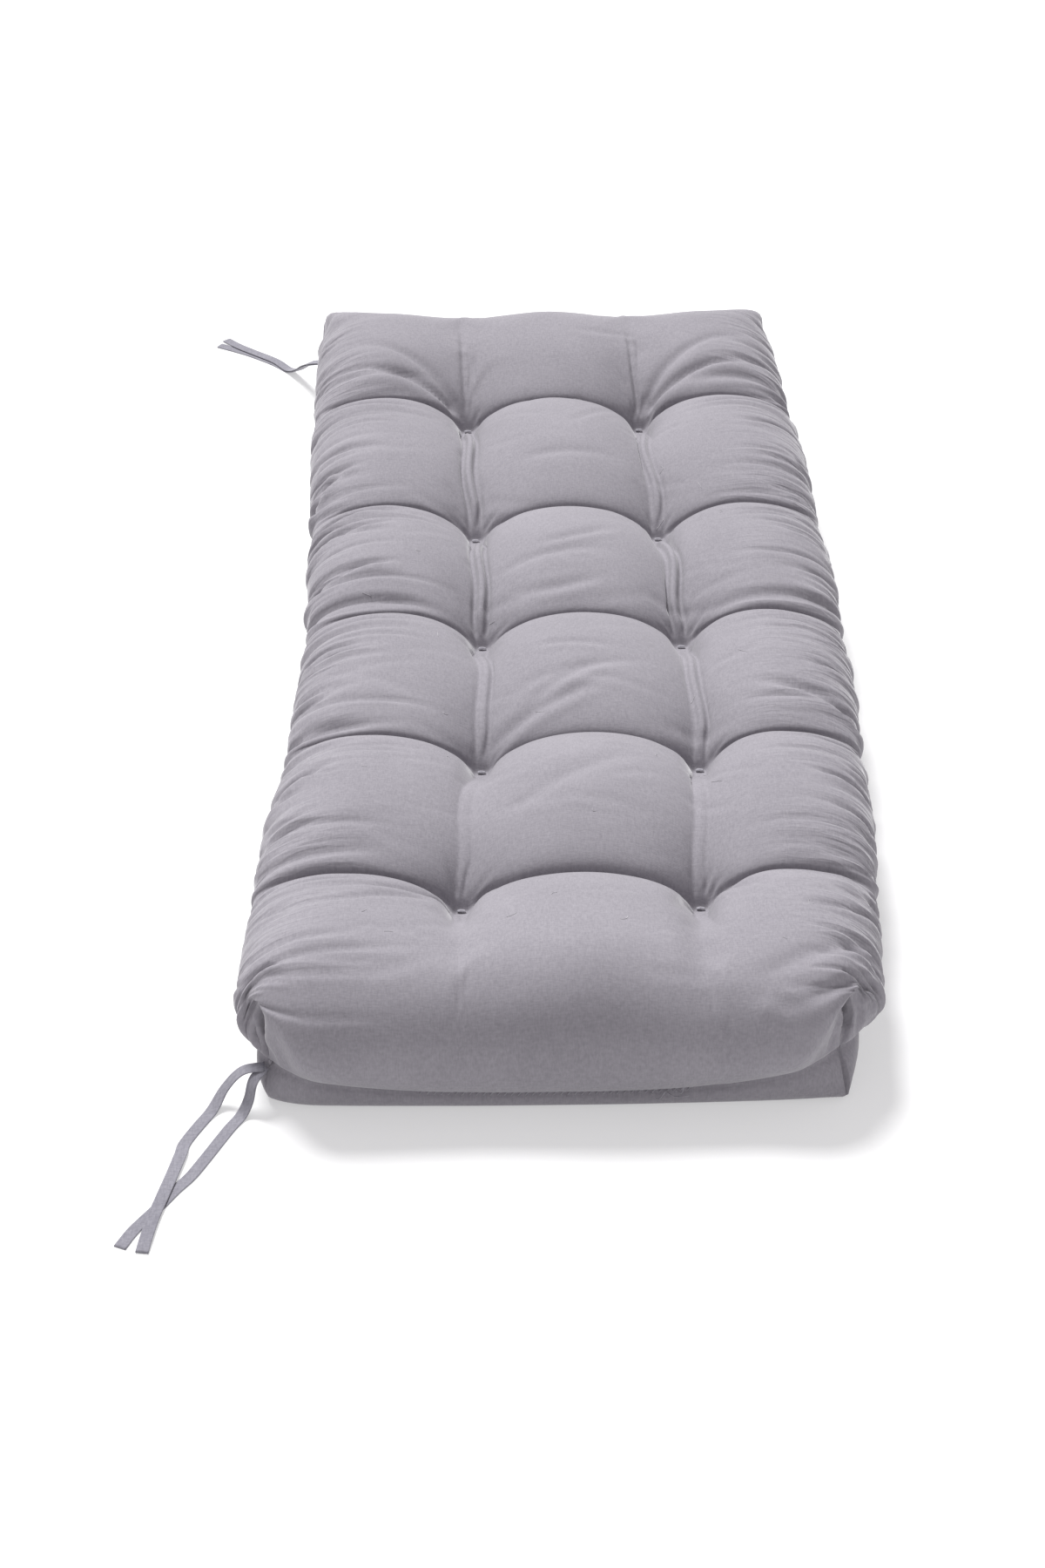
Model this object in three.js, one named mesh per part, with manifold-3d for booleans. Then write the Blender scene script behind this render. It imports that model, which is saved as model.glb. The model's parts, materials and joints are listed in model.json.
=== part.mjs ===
// A tufted bench cushion lying on its back: a filled fabric body, the thread tacks that pull it in at ten
// tufts, and the two folded tapes that tie it to a bench.
// Millimetres, +Z up. X runs across the cushion, Y along it.
// The origin is on the surface that it lies on, under its middle.
import * as THREE from "three";
import Module from "manifold-3d";
import { mergeVertices } from "three/addons/utils/BufferGeometryUtils.js";

const wasm = await Module();
wasm.setup();

// ---------------------------------------------------------------- driving dimensions

const HALF_LENGTH = 619; // from the middle to where either end bulges furthest out
const TUFT_HEIGHT = 55; // the upper tufts are pulled down to here
const EQUATOR_HEIGHT = 62; // where the sides bulge furthest out
const CLEARANCE = 0.3; // kept between pieces that touch

// The rows of tufts from the near end to the far end: where each row lies, its two tufts, and how far out
// both sides bulge there. The first and last rows of the table are the ends, which have no tufts.
const ROWS = [
  { y: -HALF_LENGTH, leftSide: -272, leftTuft: -90, rightTuft: 112, rightSide: 242 },
  { y: -412, leftSide: -263, leftTuft: -87, rightTuft: 110, rightSide: 259 },
  { y: -210, leftSide: -244, leftTuft: -69, rightTuft: 122, rightSide: 268 },
  { y: -6, leftSide: -233, leftTuft: -67, rightTuft: 118, rightSide: 271 },
  { y: 193, leftSide: -236, leftTuft: -72, rightTuft: 107, rightSide: 269 },
  { y: 419, leftSide: -242, leftTuft: -79, rightTuft: 99, rightSide: 261 },
  { y: HALF_LENGTH, leftSide: -243, leftTuft: -82, rightTuft: 96, rightSide: 250 },
];

// The cells between those rows. Heights are above the tufts: each cell's left, middle and right crown,
// and the shallow valley over the line of tufts between them.
const CELLS = [
  { left: 60, middle: 68, right: 61, valley: 56 },
  { left: 61, middle: 71, right: 62, valley: 42 },
  { left: 58, middle: 63, right: 60, valley: 36 },
  { left: 57, middle: 60, right: 59, valley: 34 },
  { left: 58, middle: 62, right: 60, valley: 37 },
  { left: 60, middle: 62, right: 61, valley: 53 },
];
const CREASE_RISE = { side: 38, middle: 34 }; // how high a crease across the cushion climbs between tufts

const SIDE_ROLL = 76; // horizontal reach of the rounded side, from its shoulder to its bulge
const END_ROLL = 72;
const ROLL_ANGLE = 135; // degrees, from the shoulder over the bulge and back under to the seam
const CREASE_NOTCH = 5; // how far a crease pulls the side in

// The four sewn corners. Each is drawn in by its dart, and the higher its squareness, the longer the two
// rolls keep their own height before they meet. The seam climbs to its own height there, where it is drawn
// in by SEAM_DRAW times as much as the bulge, and the foot of the lower panel by its own times.
const CORNERS = {
  nearLeft: { drawX: 25, drawY: 46, squareness: 3.6, seam: 43, footDraw: 0.8 },
  nearRight: { drawX: 36, drawY: 48, squareness: 3.6, seam: 55, footDraw: 0 },
  farLeft: { drawX: 8, drawY: 9, squareness: 7, seam: 52, footDraw: 0.5 },
  farRight: { drawX: 8, drawY: 9, squareness: 7, seam: 54, footDraw: 0.5 },
};
const CORNER_DRAW = 2.2; // how tightly the drawing-in is kept to the corner itself
const SEAM_DRAW = 2;

// Height of the seam away from the corners, and how late it climbs to them along an end and a side.
const SEAM = { side: 30, nearMiddle: 17, farMiddle: 26, endLateness: 3, sideLateness: 9 };
const DART = { depth: 7, from: 72, to: 128 }; // pinch at each corner of the upper panel; degrees of roll

// The lower panel, from the seam down to the edge of the resting face.
const LOWER_BULGE = 5;
const FLOOR_INSET = 6;
const LOWER_STOPS = [0.3, 0.65, 1];

// A tuft: the flat that its tack sits on, and the soft ridge left between two pleats from tuft to tuft.
const TUFT = { halfWidth: 6, halfLength: 3, ridge: 3.5 };
const TACK = { halfLength: 5, halfWidth: 1.9, halfHeight: 1.5 };
const PLEAT = { full: 0.35, gone: 60 }; // share of a cell where the ridge is full; degrees of roll it lasts
const UNDER_TUFT = { height: 17, radius: 50, middle: 18, sharpness: 1.5 }; // the dimple under a tuft

// Soft folds that lie beside each crease on the long sides. They start a little way from the crease.
const SIDE_FOLD = { pitch: 25, depth: 3.6, reach: 46, from: 4, full: 12, inner: 0.2, under: 95 };

// The profile of a soft cell: how steep it is at its stitched edge, and how level on top.
const ARCH = { level: 2.3, steep: 0.72 };

// Folded cotton tapes, caught in the seam at both corners of the left side. A tape is one strip folded at
// its middle, so it has two free tails, which drop from the seam and lie on the floor. The rows are the
// places they pass after their root, which is a little out from the seam and below it. Heights are to the
// tape's middle, and "across" is the direction of its width, in degrees, where it doesn't lie flat.
const TAPE = { width: 10, thickness: 1.2 };
const LYING = TAPE.thickness / 2;
const STACKED = LYING + TAPE.thickness + CLEARANCE;
const TIES = {
  tie_near: {
    end: -1,
    root: { out: 6, below: 2.8 },
    tails: [
      [
        { x: -259, y: -582, z: 30, across: 110 },
        { x: -273, y: -583, z: 14, across: 120 },
        { x: -283, y: -596, z: STACKED },
        { x: -293, y: -614, z: LYING },
        { x: -302, y: -634, z: LYING },
        { x: -304, y: -648, z: STACKED },
        { x: -309, y: -672, z: STACKED },
        { x: -319, y: -717, z: STACKED },
        { x: -323, y: -742, z: STACKED },
        { x: -325, y: -756, z: LYING + CLEARANCE },
      ],
      [
        { x: -250, y: -591, z: 27, across: 135 },
        { x: -254, y: -596, z: 12, across: 140 },
        { x: -260, y: -603, z: 2 },
        { x: -269, y: -618, z: LYING },
        { x: -285, y: -652, z: LYING },
        { x: -295, y: -672, z: LYING },
        { x: -306, y: -688, z: LYING },
        { x: -318, y: -708, z: LYING },
        { x: -333, y: -731, z: LYING },
        { x: -342, y: -750, z: LYING },
      ],
    ],
  },
  tie_far: {
    end: 1,
    root: { out: 1.1, below: 0.9 },
    tails: [
      [
        { x: -247, y: 616, z: 38, across: 55 },
        { x: -258, y: 637, z: 24 },
        { x: -267, y: 653, z: 11 },
        { x: -278, y: 670, z: STACKED },
        { x: -294, y: 691, z: STACKED },
        { x: -321, y: 714, z: STACKED },
        { x: -337, y: 728, z: STACKED },
        { x: -352, y: 746, z: LYING + CLEARANCE },
      ],
      [
        { x: -247, y: 614, z: 35, across: 55 },
        { x: -257, y: 635, z: 21 },
        { x: -266, y: 651, z: 8 },
        { x: -278, y: 669, z: LYING },
        { x: -295, y: 688, z: LYING },
        { x: -322, y: 710, z: LYING },
        { x: -339, y: 721, z: LYING },
        { x: -359, y: 733, z: LYING },
      ],
    ],
  },
};

// ---------------------------------------------------------------- small helpers

const TUFT_ROWS = ROWS.slice(1, -1);

const radians = THREE.MathUtils.degToRad;
const lerp = THREE.MathUtils.lerp;
const smooth = (x, from, to) => THREE.MathUtils.smoothstep(x, from, to);

// How full a soft cell is, from 0 at its stitched edge to 1 at its crown.
const arch = (t) => (1 - (1 - t) ** ARCH.level) ** ARCH.steep;

// A smooth curve through one column of ROWS, read at any place along the cushion.
function column(name, y) {
  const last = ROWS.length - 1;
  let i = 0;
  while (i < last - 1 && y > ROWS[i + 1].y) i += 1;
  const before = ROWS[Math.max(i - 1, 0)];
  const a = ROWS[i];
  const b = ROWS[i + 1];
  const after = ROWS[Math.min(i + 2, last)];
  const span = b.y - a.y;
  const slopeA = (b[name] - before[name]) / (b.y - before.y);
  const slopeB = (after[name] - a[name]) / (after.y - a.y);
  const t = THREE.MathUtils.clamp((y - a.y) / span, 0, 1);
  const t2 = t * t;
  const t3 = t2 * t;
  return (
    (2 * t3 - 3 * t2 + 1) * a[name] +
    (t3 - 2 * t2 + t) * span * slopeA +
    (3 * t2 - 2 * t3) * b[name] +
    (t3 - t2) * span * slopeB
  );
}

// ---------------------------------------------------------------- the lines of the body's grid

const ROLL_STOPS = [25, 48, 70, 91, 113, ROLL_ANGLE]; // degrees round a rounded side or end
const SHOULDER_STOPS = [0.1, 0.3, 0.62, 1]; // shares of the way from a tuft line to the shoulder
const MIDDLE_STOPS = [0.06, 0.2, 0.42, 0.5, 0.58, 0.8, 0.94]; // shares of the way between the tuft lines
const CELL_STOPS = [0.035, 0.08, 0.13, 0.2, 0.3, 0.4, 0.5]; // shares of a cell's length, then mirrored

// Each line across the cushion says which part of the width it lies on, how full the cells are there
// (0 on a tuft line and 1 on a crown) and how far round the side it has rolled, in radians.
function acrossLines() {
  const side = (sign, share, angle) => ({
    sign,
    share,
    angle: radians(angle),
    offset: sign * TUFT.halfWidth,
  });
  const half = (sign) => [
    side(sign, 0, 0),
    ...SHOULDER_STOPS.map((share) => side(sign, share, 0)),
    ...ROLL_STOPS.map((angle) => side(sign, 1, angle)),
  ];
  const middle = MIDDLE_STOPS.map((place) => ({
    sign: 0,
    place,
    share: 1 - Math.abs(2 * place - 1),
    angle: 0,
  }));
  const pleat = (sign) => [
    { sign, share: 0, angle: 0, offset: 0 },
    { sign, share: 0, angle: 0, offset: -sign * TUFT.halfWidth },
  ];
  return [...half(-1).reverse(), ...pleat(-1), ...middle, ...pleat(1).reverse(), ...half(1)];
}

// The same along the cushion. A line in the rounded ends has an angle; any other has a place along Y.
function alongLines() {
  const lines = [];
  const last = ROWS.length - 1;
  const end = (cell, row, sign) => {
    const from = row.y + sign * TUFT.halfLength;
    const shoulder = sign * (HALF_LENGTH - END_ROLL);
    return [
      ...SHOULDER_STOPS.map((share) => ({ cell, sign, share, y: lerp(from, shoulder, share), angle: 0 })),
      ...ROLL_STOPS.map((angle) => ({ cell, sign, share: 1, y: shoulder, angle: radians(angle) })),
    ];
  };
  lines.push(...end(0, ROWS[1], -1).reverse());
  for (let row = 1; row < last; row += 1) {
    for (const offset of [-TUFT.halfLength, TUFT.halfLength])
      lines.push({ cell: row, y: ROWS[row].y + offset, share: 0, angle: 0 });
    if (row === last - 1) break;
    const from = ROWS[row].y + TUFT.halfLength;
    const to = ROWS[row + 1].y - TUFT.halfLength;
    const mirrored = CELL_STOPS.slice(0, -1).map((stop) => 1 - stop).reverse();
    for (const place of [...CELL_STOPS, ...mirrored])
      lines.push({ cell: row, y: lerp(from, to, place), share: 1 - Math.abs(2 * place - 1), angle: 0 });
  }
  lines.push(...end(last - 1, ROWS[last - 1], 1));
  return lines;
}

// ---------------------------------------------------------------- the body's surface

const LAST_ANGLE = radians(ROLL_ANGLE);
const STEADY_FROM = radians(50); // of the other roll, where an edge starts to be steady

// How far the seam lies inside the bulge over it, along the sides and along the ends.
const SIDE_TURN = SIDE_ROLL * (1 - Math.sin(LAST_ANGLE));
const END_TURN = END_ROLL * (1 - Math.sin(LAST_ANGLE));

// The plan reach of a rolled edge, as a share of its roll. Beside a corner it changes from the sine of its
// own angle to one that never turns back, so that the seam stays a clean line.
function reach(own, other) {
  const steady = Math.sin(LAST_ANGLE) * Math.sin((Math.PI / 2) * (own / LAST_ANGLE));
  return lerp(Math.sin(own), steady, smooth(other, STEADY_FROM, LAST_ANGLE));
}

const cornerOf = (u, v) => CORNERS[(v.sign < 0 ? "near" : "far") + (u.sign < 0 ? "Left" : "Right")];

// How high the seam runs, from shares -1 to 1 of the way across and along the cushion.
function seamHeight(across, along) {
  const middle = along < 0 ? SEAM.nearMiddle : SEAM.farMiddle;
  const corner = cornerOf({ sign: across }, { sign: along });
  const end = lerp(middle, corner.seam, Math.abs(across) ** SEAM.endLateness);
  return lerp(SEAM.side, end, Math.abs(along) ** SEAM.sideLateness);
}

// Height over the tufts of the stitched-down top, before it rolls over a side or an end.
function topRise(u, v) {
  const cell = CELLS[v.cell];
  const crown = u.sign < 0 ? cell.left : u.sign > 0 ? cell.right : cell.middle;
  const crease = u.sign === 0 ? CREASE_RISE.middle : CREASE_RISE.side;
  const softened = v.sign ? smooth(v.share, 0, 1) : 0; // the ends are one soft crown
  const across = lerp(arch(u.share), smooth(u.share, 0, 1), softened);
  const along = arch(v.share);
  return along * lerp(cell.valley, crown, across) + (1 - along) * crease * across;
}

// Folds beside the creases of the long sides, strongest on the shoulder.
function sideFold(u, v, y) {
  if (u.sign === 0 || v.angle > 0) return 0;
  const row = TUFT_ROWS.reduce((a, b) => (Math.abs(b.y - y) < Math.abs(a.y - y) ? b : a));
  const away = Math.abs(y - row.y);
  const waves = 0.5 - 0.5 * Math.cos((2 * Math.PI * away) / SIDE_FOLD.pitch + Math.PI);
  const fade = Math.exp(-((away / SIDE_FOLD.reach) ** 2)) * smooth(away, SIDE_FOLD.from, SIDE_FOLD.full);
  const shoulder = smooth(u.share, SIDE_FOLD.inner, 1);
  const below = 1 - smooth(u.angle, radians(SIDE_FOLD.under), LAST_ANGLE);
  return -SIDE_FOLD.depth * waves * fade * shoulder * below;
}

// Both rolls together, as one angle that reaches the seam along either edge.
function rollAt(u, v) {
  const { squareness } = cornerOf(u, v);
  const s = (u.angle / LAST_ANGLE) ** squareness;
  const e = (v.angle / LAST_ANGLE) ** squareness;
  return LAST_ANGLE * (s + e - s * e) ** (1 / squareness);
}

// Where a place on the grid lies seen from above. A corner is drawn in by its own sizes times draw, and
// the whole edge by inset.
function plan(u, v, draw, inset) {
  const sewn = cornerOf(u, v);
  const sideReach = reach(u.angle, v.angle);
  const endReach = reach(v.angle, u.angle);
  const corner = draw * (sideReach * endReach) ** CORNER_DRAW;

  let y = v.y;
  if (v.angle > 0) {
    const rolled = END_ROLL * endReach - sewn.drawY * corner - (inset * v.angle) / LAST_ANGLE;
    y += v.sign * rolled;
  }
  if (u.sign === 0) {
    const leftTuft = column("leftTuft", y) + TUFT.halfWidth;
    const rightTuft = column("rightTuft", y) - TUFT.halfWidth;
    return { x: lerp(leftTuft, rightTuft, u.place), y };
  }
  const side = u.sign < 0 ? "left" : "right";
  const tuft = column(`${side}Tuft`, y) + u.offset;
  const bulge = column(`${side}Side`, y) - u.sign * CREASE_NOTCH * (1 - arch(v.share));
  const rolled = SIDE_ROLL * sideReach - sewn.drawX * corner - (inset * u.angle) / LAST_ANGLE;
  return { x: lerp(tuft, bulge - u.sign * SIDE_ROLL, u.share) + u.sign * rolled, y };
}

function topPoint(u, v) {
  const roll = rollAt(u, v);
  let { x, y } = plan(u, v, lerp(1, SEAM_DRAW, smooth(roll, Math.PI / 2, LAST_ANGLE)), 0);
  const fold = sideFold(u, v, y);
  x += u.sign * fold * Math.sin(u.angle);

  const top = TUFT_HEIGHT + topRise(u, v) + pleatRidge(u, v) + fold * Math.cos(u.angle);
  let z = EQUATOR_HEIGHT + (top - EQUATOR_HEIGHT) * Math.cos(roll);
  if (roll > Math.PI / 2) {
    const seam = seamHeight(acrossShare(x, y), y / (HALF_LENGTH - END_TURN));
    z = lerp(EQUATOR_HEIGHT, seam, Math.cos(roll) / Math.cos(LAST_ANGLE));
  }

  // The dart at a corner: a pinch along the line where both rolls are alike.
  if (u.angle > 0 && u.angle === v.angle) {
    const half = (DART.to - DART.from) / 2;
    const pinch = Math.max(0, 1 - Math.abs(THREE.MathUtils.radToDeg(roll) - DART.from - half) / half);
    x -= u.sign * DART.depth * pinch;
    y -= v.sign * DART.depth * pinch;
  }
  return new THREE.Vector3(x, y, z);
}

// Where the edge of the resting face lies under a place on the seam.
function footPoint(u, v) {
  const { x, y } = plan(u, v, cornerOf(u, v).footDraw, FLOOR_INSET);
  return new THREE.Vector3(x, y, 0);
}

// Where a point lies between the two long seams, from -1 on the left one to 1 on the right one.
function acrossShare(x, y) {
  const left = column("leftSide", y) + SIDE_TURN;
  const right = column("rightSide", y) - SIDE_TURN;
  return THREE.MathUtils.clamp((2 * (x - left)) / (right - left) - 1, -1, 1);
}

// The soft ridge that two close pleats leave along a line of tufts.
function pleatRidge(u, v) {
  const onLine = u.share === 0 && u.offset === 0 && u.sign !== 0;
  if (!onLine) return 0;
  return TUFT.ridge * smooth(v.share, 0, PLEAT.full) * (1 - smooth(v.angle, 0, radians(PLEAT.gone)));
}

// ---------------------------------------------------------------- the body's underside

// The resting face is flat but for the pull of the tacks, which draws a dimple up round each tuft.
function underHeight(x, y) {
  let height = 0;
  for (const row of TUFT_ROWS)
    for (const tuftX of [row.leftTuft, row.rightTuft]) {
      const dx = Math.max(0, Math.abs(x - tuftX) - TUFT.halfWidth);
      const dy = Math.max(0, Math.abs(y - row.y) - TUFT.halfLength);
      const away = Math.hypot(dx, dy) / UNDER_TUFT.radius;
      if (away < 1) height = Math.max(height, UNDER_TUFT.height * (1 - away) ** UNDER_TUFT.sharpness);
    }
  return height;
}

// Distances from a tack at which the underside has grid lines.
const UNDER_STOPS = [0, UNDER_TUFT.middle, UNDER_TUFT.radius];

const UNDER_MARGIN = 30; // between the edge of the resting face and its grid
const SIDE_MARGIN = SIDE_TURN + FLOOR_INSET + UNDER_MARGIN;
const END_MARGIN = END_TURN + FLOOR_INSET + UNDER_MARGIN;

function underGrid() {
  const beside = (tuft, half, sign, stops) => stops.map((d) => tuft + sign * (half + d));
  const acrossAt = (y) => {
    const left = column("leftTuft", y);
    const right = column("rightTuft", y);
    return [
      column("leftSide", y) + SIDE_MARGIN,
      ...beside(left, TUFT.halfWidth, -1, UNDER_STOPS).reverse(),
      ...beside(left, TUFT.halfWidth, 1, UNDER_STOPS),
      ...beside(right, TUFT.halfWidth, -1, UNDER_STOPS).reverse(),
      ...beside(right, TUFT.halfWidth, 1, UNDER_STOPS),
      column("rightSide", y) - SIDE_MARGIN,
    ];
  };
  const endY = HALF_LENGTH - END_MARGIN;
  const ys = TUFT_ROWS.flatMap((row) => [
    ...beside(row.y, TUFT.halfLength, -1, UNDER_STOPS).reverse(),
    ...beside(row.y, TUFT.halfLength, 1, UNDER_STOPS),
  ]);
  const line = (y) => acrossAt(y).map((x) => new THREE.Vector3(x, y, underHeight(x, y)));
  return [-endY, ...ys, endY].map(line);
}

// ---------------------------------------------------------------- meshing

class Surface {
  constructor() {
    this.positions = [];
    this.triangles = [];
  }
  vertex(point) {
    this.positions.push(point.x, point.y, point.z);
    return this.positions.length / 3 - 1;
  }
  quad(a, b, c, d) {
    this.triangles.push(a, b, c, a, c, d);
  }
  point(index) {
    return new THREE.Vector3().fromArray(this.positions, 3 * index);
  }
  // Joins two closed loops of vertices that run the same way round, whatever their counts.
  zip(outer, inner) {
    const at = (loop, i) => loop[i % loop.length];
    const gap = (a, b) => this.point(a).distanceTo(this.point(b));
    let i = 0;
    let j = 0;
    while (i < outer.length || j < inner.length) {
      const here = at(outer, i);
      const opposite = at(inner, j);
      const nextOuter = at(outer, i + 1);
      const nextInner = at(inner, j + 1);
      const outerIsNearer = gap(nextOuter, opposite) <= gap(here, nextInner);
      if (j >= inner.length || (i < outer.length && outerIsNearer)) {
        this.triangles.push(here, nextOuter, opposite);
        i += 1;
      } else {
        this.triangles.push(here, nextInner, opposite);
        j += 1;
      }
    }
  }
  geometry() {
    const made = new THREE.BufferGeometry();
    made.setAttribute("position", new THREE.Float32BufferAttribute(this.positions, 3));
    made.setIndex(this.triangles);
    made.computeVertexNormals();
    return made;
  }
}

// The vertices round the edge of a grid, anticlockwise from above. rows[j][i] is line j along, i across.
function rim(rows) {
  const last = rows.length - 1;
  const wide = rows[0].length - 1;
  return [
    ...rows[0],
    ...rows.slice(1, last).map((row) => row[wide]),
    ...rows[last].slice().reverse(),
    ...rows.slice(1, last).map((row) => row[0]).reverse(),
  ];
}

function bodyGeometry() {
  const surface = new Surface();
  const across = acrossLines();
  const along = alongLines();
  const top = along.map((v) => across.map((u) => surface.vertex(topPoint(u, v))));
  for (let j = 0; j + 1 < top.length; j += 1)
    for (let i = 0; i + 1 < across.length; i += 1)
      surface.quad(top[j][i], top[j][i + 1], top[j + 1][i + 1], top[j + 1][i]);

  // The lower panel: loops from the seam down to the edge of the resting face.
  const seam = rim(top);
  const foot = rim(along.map((v) => across.map((u) => footPoint(u, v))));
  const lowered = (share) =>
    seam.map((index, i) => {
      const before = foot.at(i - 1);
      const after = foot[(i + 1) % foot.length];
      const out = new THREE.Vector3(after.y - before.y, before.x - after.x, 0).normalize();
      const between = surface.point(index).lerp(foot[i], share);
      return surface.vertex(between.addScaledVector(out, LOWER_BULGE * Math.sin(Math.PI * share)));
    });
  let upper = seam;
  for (const share of LOWER_STOPS) {
    const lower = lowered(share);
    lower.forEach((_, i) => {
      const next = (i + 1) % lower.length;
      surface.quad(upper[i], lower[i], lower[next], upper[next]);
    });
    upper = lower;
  }

  // The resting face, with a dimple under each tuft.
  const under = underGrid().map((line) => line.map((point) => surface.vertex(point)));
  for (let j = 0; j + 1 < under.length; j += 1)
    for (let i = 0; i + 1 < under[j].length; i += 1)
      surface.quad(under[j][i], under[j + 1][i], under[j + 1][i + 1], under[j][i + 1]);
  surface.zip(rim(under), upper);
  return surface.geometry();
}

// ---------------------------------------------------------------- tacks and tapes

function tackGeometry() {
  const bar = new THREE.CapsuleGeometry(TACK.halfWidth, 2 * (TACK.halfLength - TACK.halfWidth), 3, 8);
  bar.rotateZ(Math.PI / 2);
  bar.scale(1, 1, TACK.halfHeight / TACK.halfWidth);
  return bar;
}

// One tail of a tape: a thin strip that follows its points, with its width turned as they say.
function tailGeometry(points) {
  const surface = new Surface();
  const rings = points.map((point, i) => {
    const here = new THREE.Vector3(point.x, point.y, point.z);
    const before = points[Math.max(i - 1, 0)];
    const after = points[Math.min(i + 1, points.length - 1)];
    const heading = new THREE.Vector3().subVectors(after, before).normalize();
    const rightHand = new THREE.Vector3(heading.y, -heading.x, 0);
    const across = rightHand.clone();
    if ("across" in point) {
      const turned = radians(point.across);
      across.set(Math.cos(turned), Math.sin(turned), 0);
    }
    across.addScaledVector(heading, -across.dot(heading)).normalize();
    if (across.dot(rightHand) < 0) across.negate();
    const up = new THREE.Vector3().crossVectors(across, heading);
    const corner = (a, b) =>
      here
        .clone()
        .addScaledVector(across, (a * TAPE.width) / 2)
        .addScaledVector(up, (b * TAPE.thickness) / 2);
    return [corner(-1, -1), corner(1, -1), corner(1, 1), corner(-1, 1)].map((p) => surface.vertex(p));
  });
  for (let j = 0; j + 1 < rings.length; j += 1)
    for (let i = 0; i < 4; i += 1) {
      const next = (i + 1) % 4;
      surface.quad(rings[j][i], rings[j + 1][i], rings[j + 1][next], rings[j][next]);
    }
  surface.quad(...rings[0]);
  surface.quad(...rings.at(-1).slice().reverse());
  return surface.geometry();
}

function solid(geometry) {
  const bare = geometry.clone();
  bare.deleteAttribute("normal");
  bare.deleteAttribute("uv");
  const merged = mergeVertices(bare, 1e-3);
  return new wasm.Manifold(
    new wasm.Mesh({
      numProp: 3,
      vertProperties: Float32Array.from(merged.attributes.position.array),
      triVerts: Uint32Array.from(merged.index.array),
    }),
  );
}

// Both tails leave the seam at the same corner, one on the other, and are one strip there.
function tieGeometry({ end, root, tails }) {
  const seam = topPoint(acrossLines()[0], alongLines().at(end < 0 ? 0 : -1));
  const diagonal = root.out / Math.SQRT2;
  const start = {
    x: seam.x - diagonal,
    y: seam.y + end * diagonal,
    z: seam.z - root.below,
    across: end * 45,
  };
  const [upper, lower] = tails.map((points) => solid(tailGeometry([start, ...points])));
  const mesh = upper.add(lower).getMesh();
  const made = new THREE.BufferGeometry();
  made.setAttribute("position", new THREE.Float32BufferAttribute(mesh.vertProperties, 3));
  made.setIndex([...mesh.triVerts]);
  made.computeVertexNormals();
  return made;
}

// ---------------------------------------------------------------- the part

const cloth = new THREE.MeshStandardMaterial({ color: 0xa7a5ad, roughness: 0.95, metalness: 0 });
const tape = new THREE.MeshStandardMaterial({ color: 0x9c9ba3, roughness: 0.95, metalness: 0 });
const thread = new THREE.MeshStandardMaterial({ color: 0x8f8d96, roughness: 0.8, metalness: 0 });

const group = new THREE.Group();

function piece(name, geometry, material) {
  const mesh = new THREE.Mesh(geometry, material);
  mesh.name = name;
  group.add(mesh);
  return mesh;
}

piece("cushion", bodyGeometry(), cloth);
TUFT_ROWS.forEach((row, i) => {
  for (const side of ["left", "right"]) {
    const x = row[`${side}Tuft`];
    const seat = TACK.halfHeight + CLEARANCE;
    const upper = piece(`tack_upper_${i + 1}_${side}`, tackGeometry(), thread);
    upper.position.set(x, row.y, TUFT_HEIGHT + seat);
    const lower = piece(`tack_lower_${i + 1}_${side}`, tackGeometry(), thread);
    lower.position.set(x, row.y, UNDER_TUFT.height - seat);
  }
});
for (const [name, tie] of Object.entries(TIES)) piece(name, tieGeometry(tie), tape);

export default group;
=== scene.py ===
# %% [markdown]
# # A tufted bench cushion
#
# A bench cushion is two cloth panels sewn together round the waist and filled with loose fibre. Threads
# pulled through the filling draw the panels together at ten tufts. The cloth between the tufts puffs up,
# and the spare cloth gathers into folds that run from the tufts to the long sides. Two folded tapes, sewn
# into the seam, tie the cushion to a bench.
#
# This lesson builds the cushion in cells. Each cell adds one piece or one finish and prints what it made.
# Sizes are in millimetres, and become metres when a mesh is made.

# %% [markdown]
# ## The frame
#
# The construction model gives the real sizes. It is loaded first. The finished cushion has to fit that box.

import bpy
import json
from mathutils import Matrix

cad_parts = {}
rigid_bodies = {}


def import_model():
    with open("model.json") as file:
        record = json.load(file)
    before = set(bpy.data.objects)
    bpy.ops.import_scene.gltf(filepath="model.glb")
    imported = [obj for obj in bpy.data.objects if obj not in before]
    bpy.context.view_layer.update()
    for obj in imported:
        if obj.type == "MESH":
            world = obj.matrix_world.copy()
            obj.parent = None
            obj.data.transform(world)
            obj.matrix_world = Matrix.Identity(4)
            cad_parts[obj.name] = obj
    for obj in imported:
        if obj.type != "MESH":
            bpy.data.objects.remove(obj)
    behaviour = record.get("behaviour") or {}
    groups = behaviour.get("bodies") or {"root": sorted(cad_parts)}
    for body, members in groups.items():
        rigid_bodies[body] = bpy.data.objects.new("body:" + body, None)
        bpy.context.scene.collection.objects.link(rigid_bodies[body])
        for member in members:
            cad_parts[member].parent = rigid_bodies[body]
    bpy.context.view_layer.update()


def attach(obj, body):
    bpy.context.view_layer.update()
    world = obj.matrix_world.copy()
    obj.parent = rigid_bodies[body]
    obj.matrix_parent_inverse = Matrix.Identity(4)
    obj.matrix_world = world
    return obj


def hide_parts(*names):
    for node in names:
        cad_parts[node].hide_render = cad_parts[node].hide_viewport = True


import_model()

# %% [markdown]
# ## The camera
#
# The camera looks at the cushion from beyond its near end, down at about 35 degrees, through a long lens. It
# is made first, and stays.

# %% Make the camera
import json
import math

import bmesh
import bpy
import numpy as np
from mathutils import Vector

MM = 0.001
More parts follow.
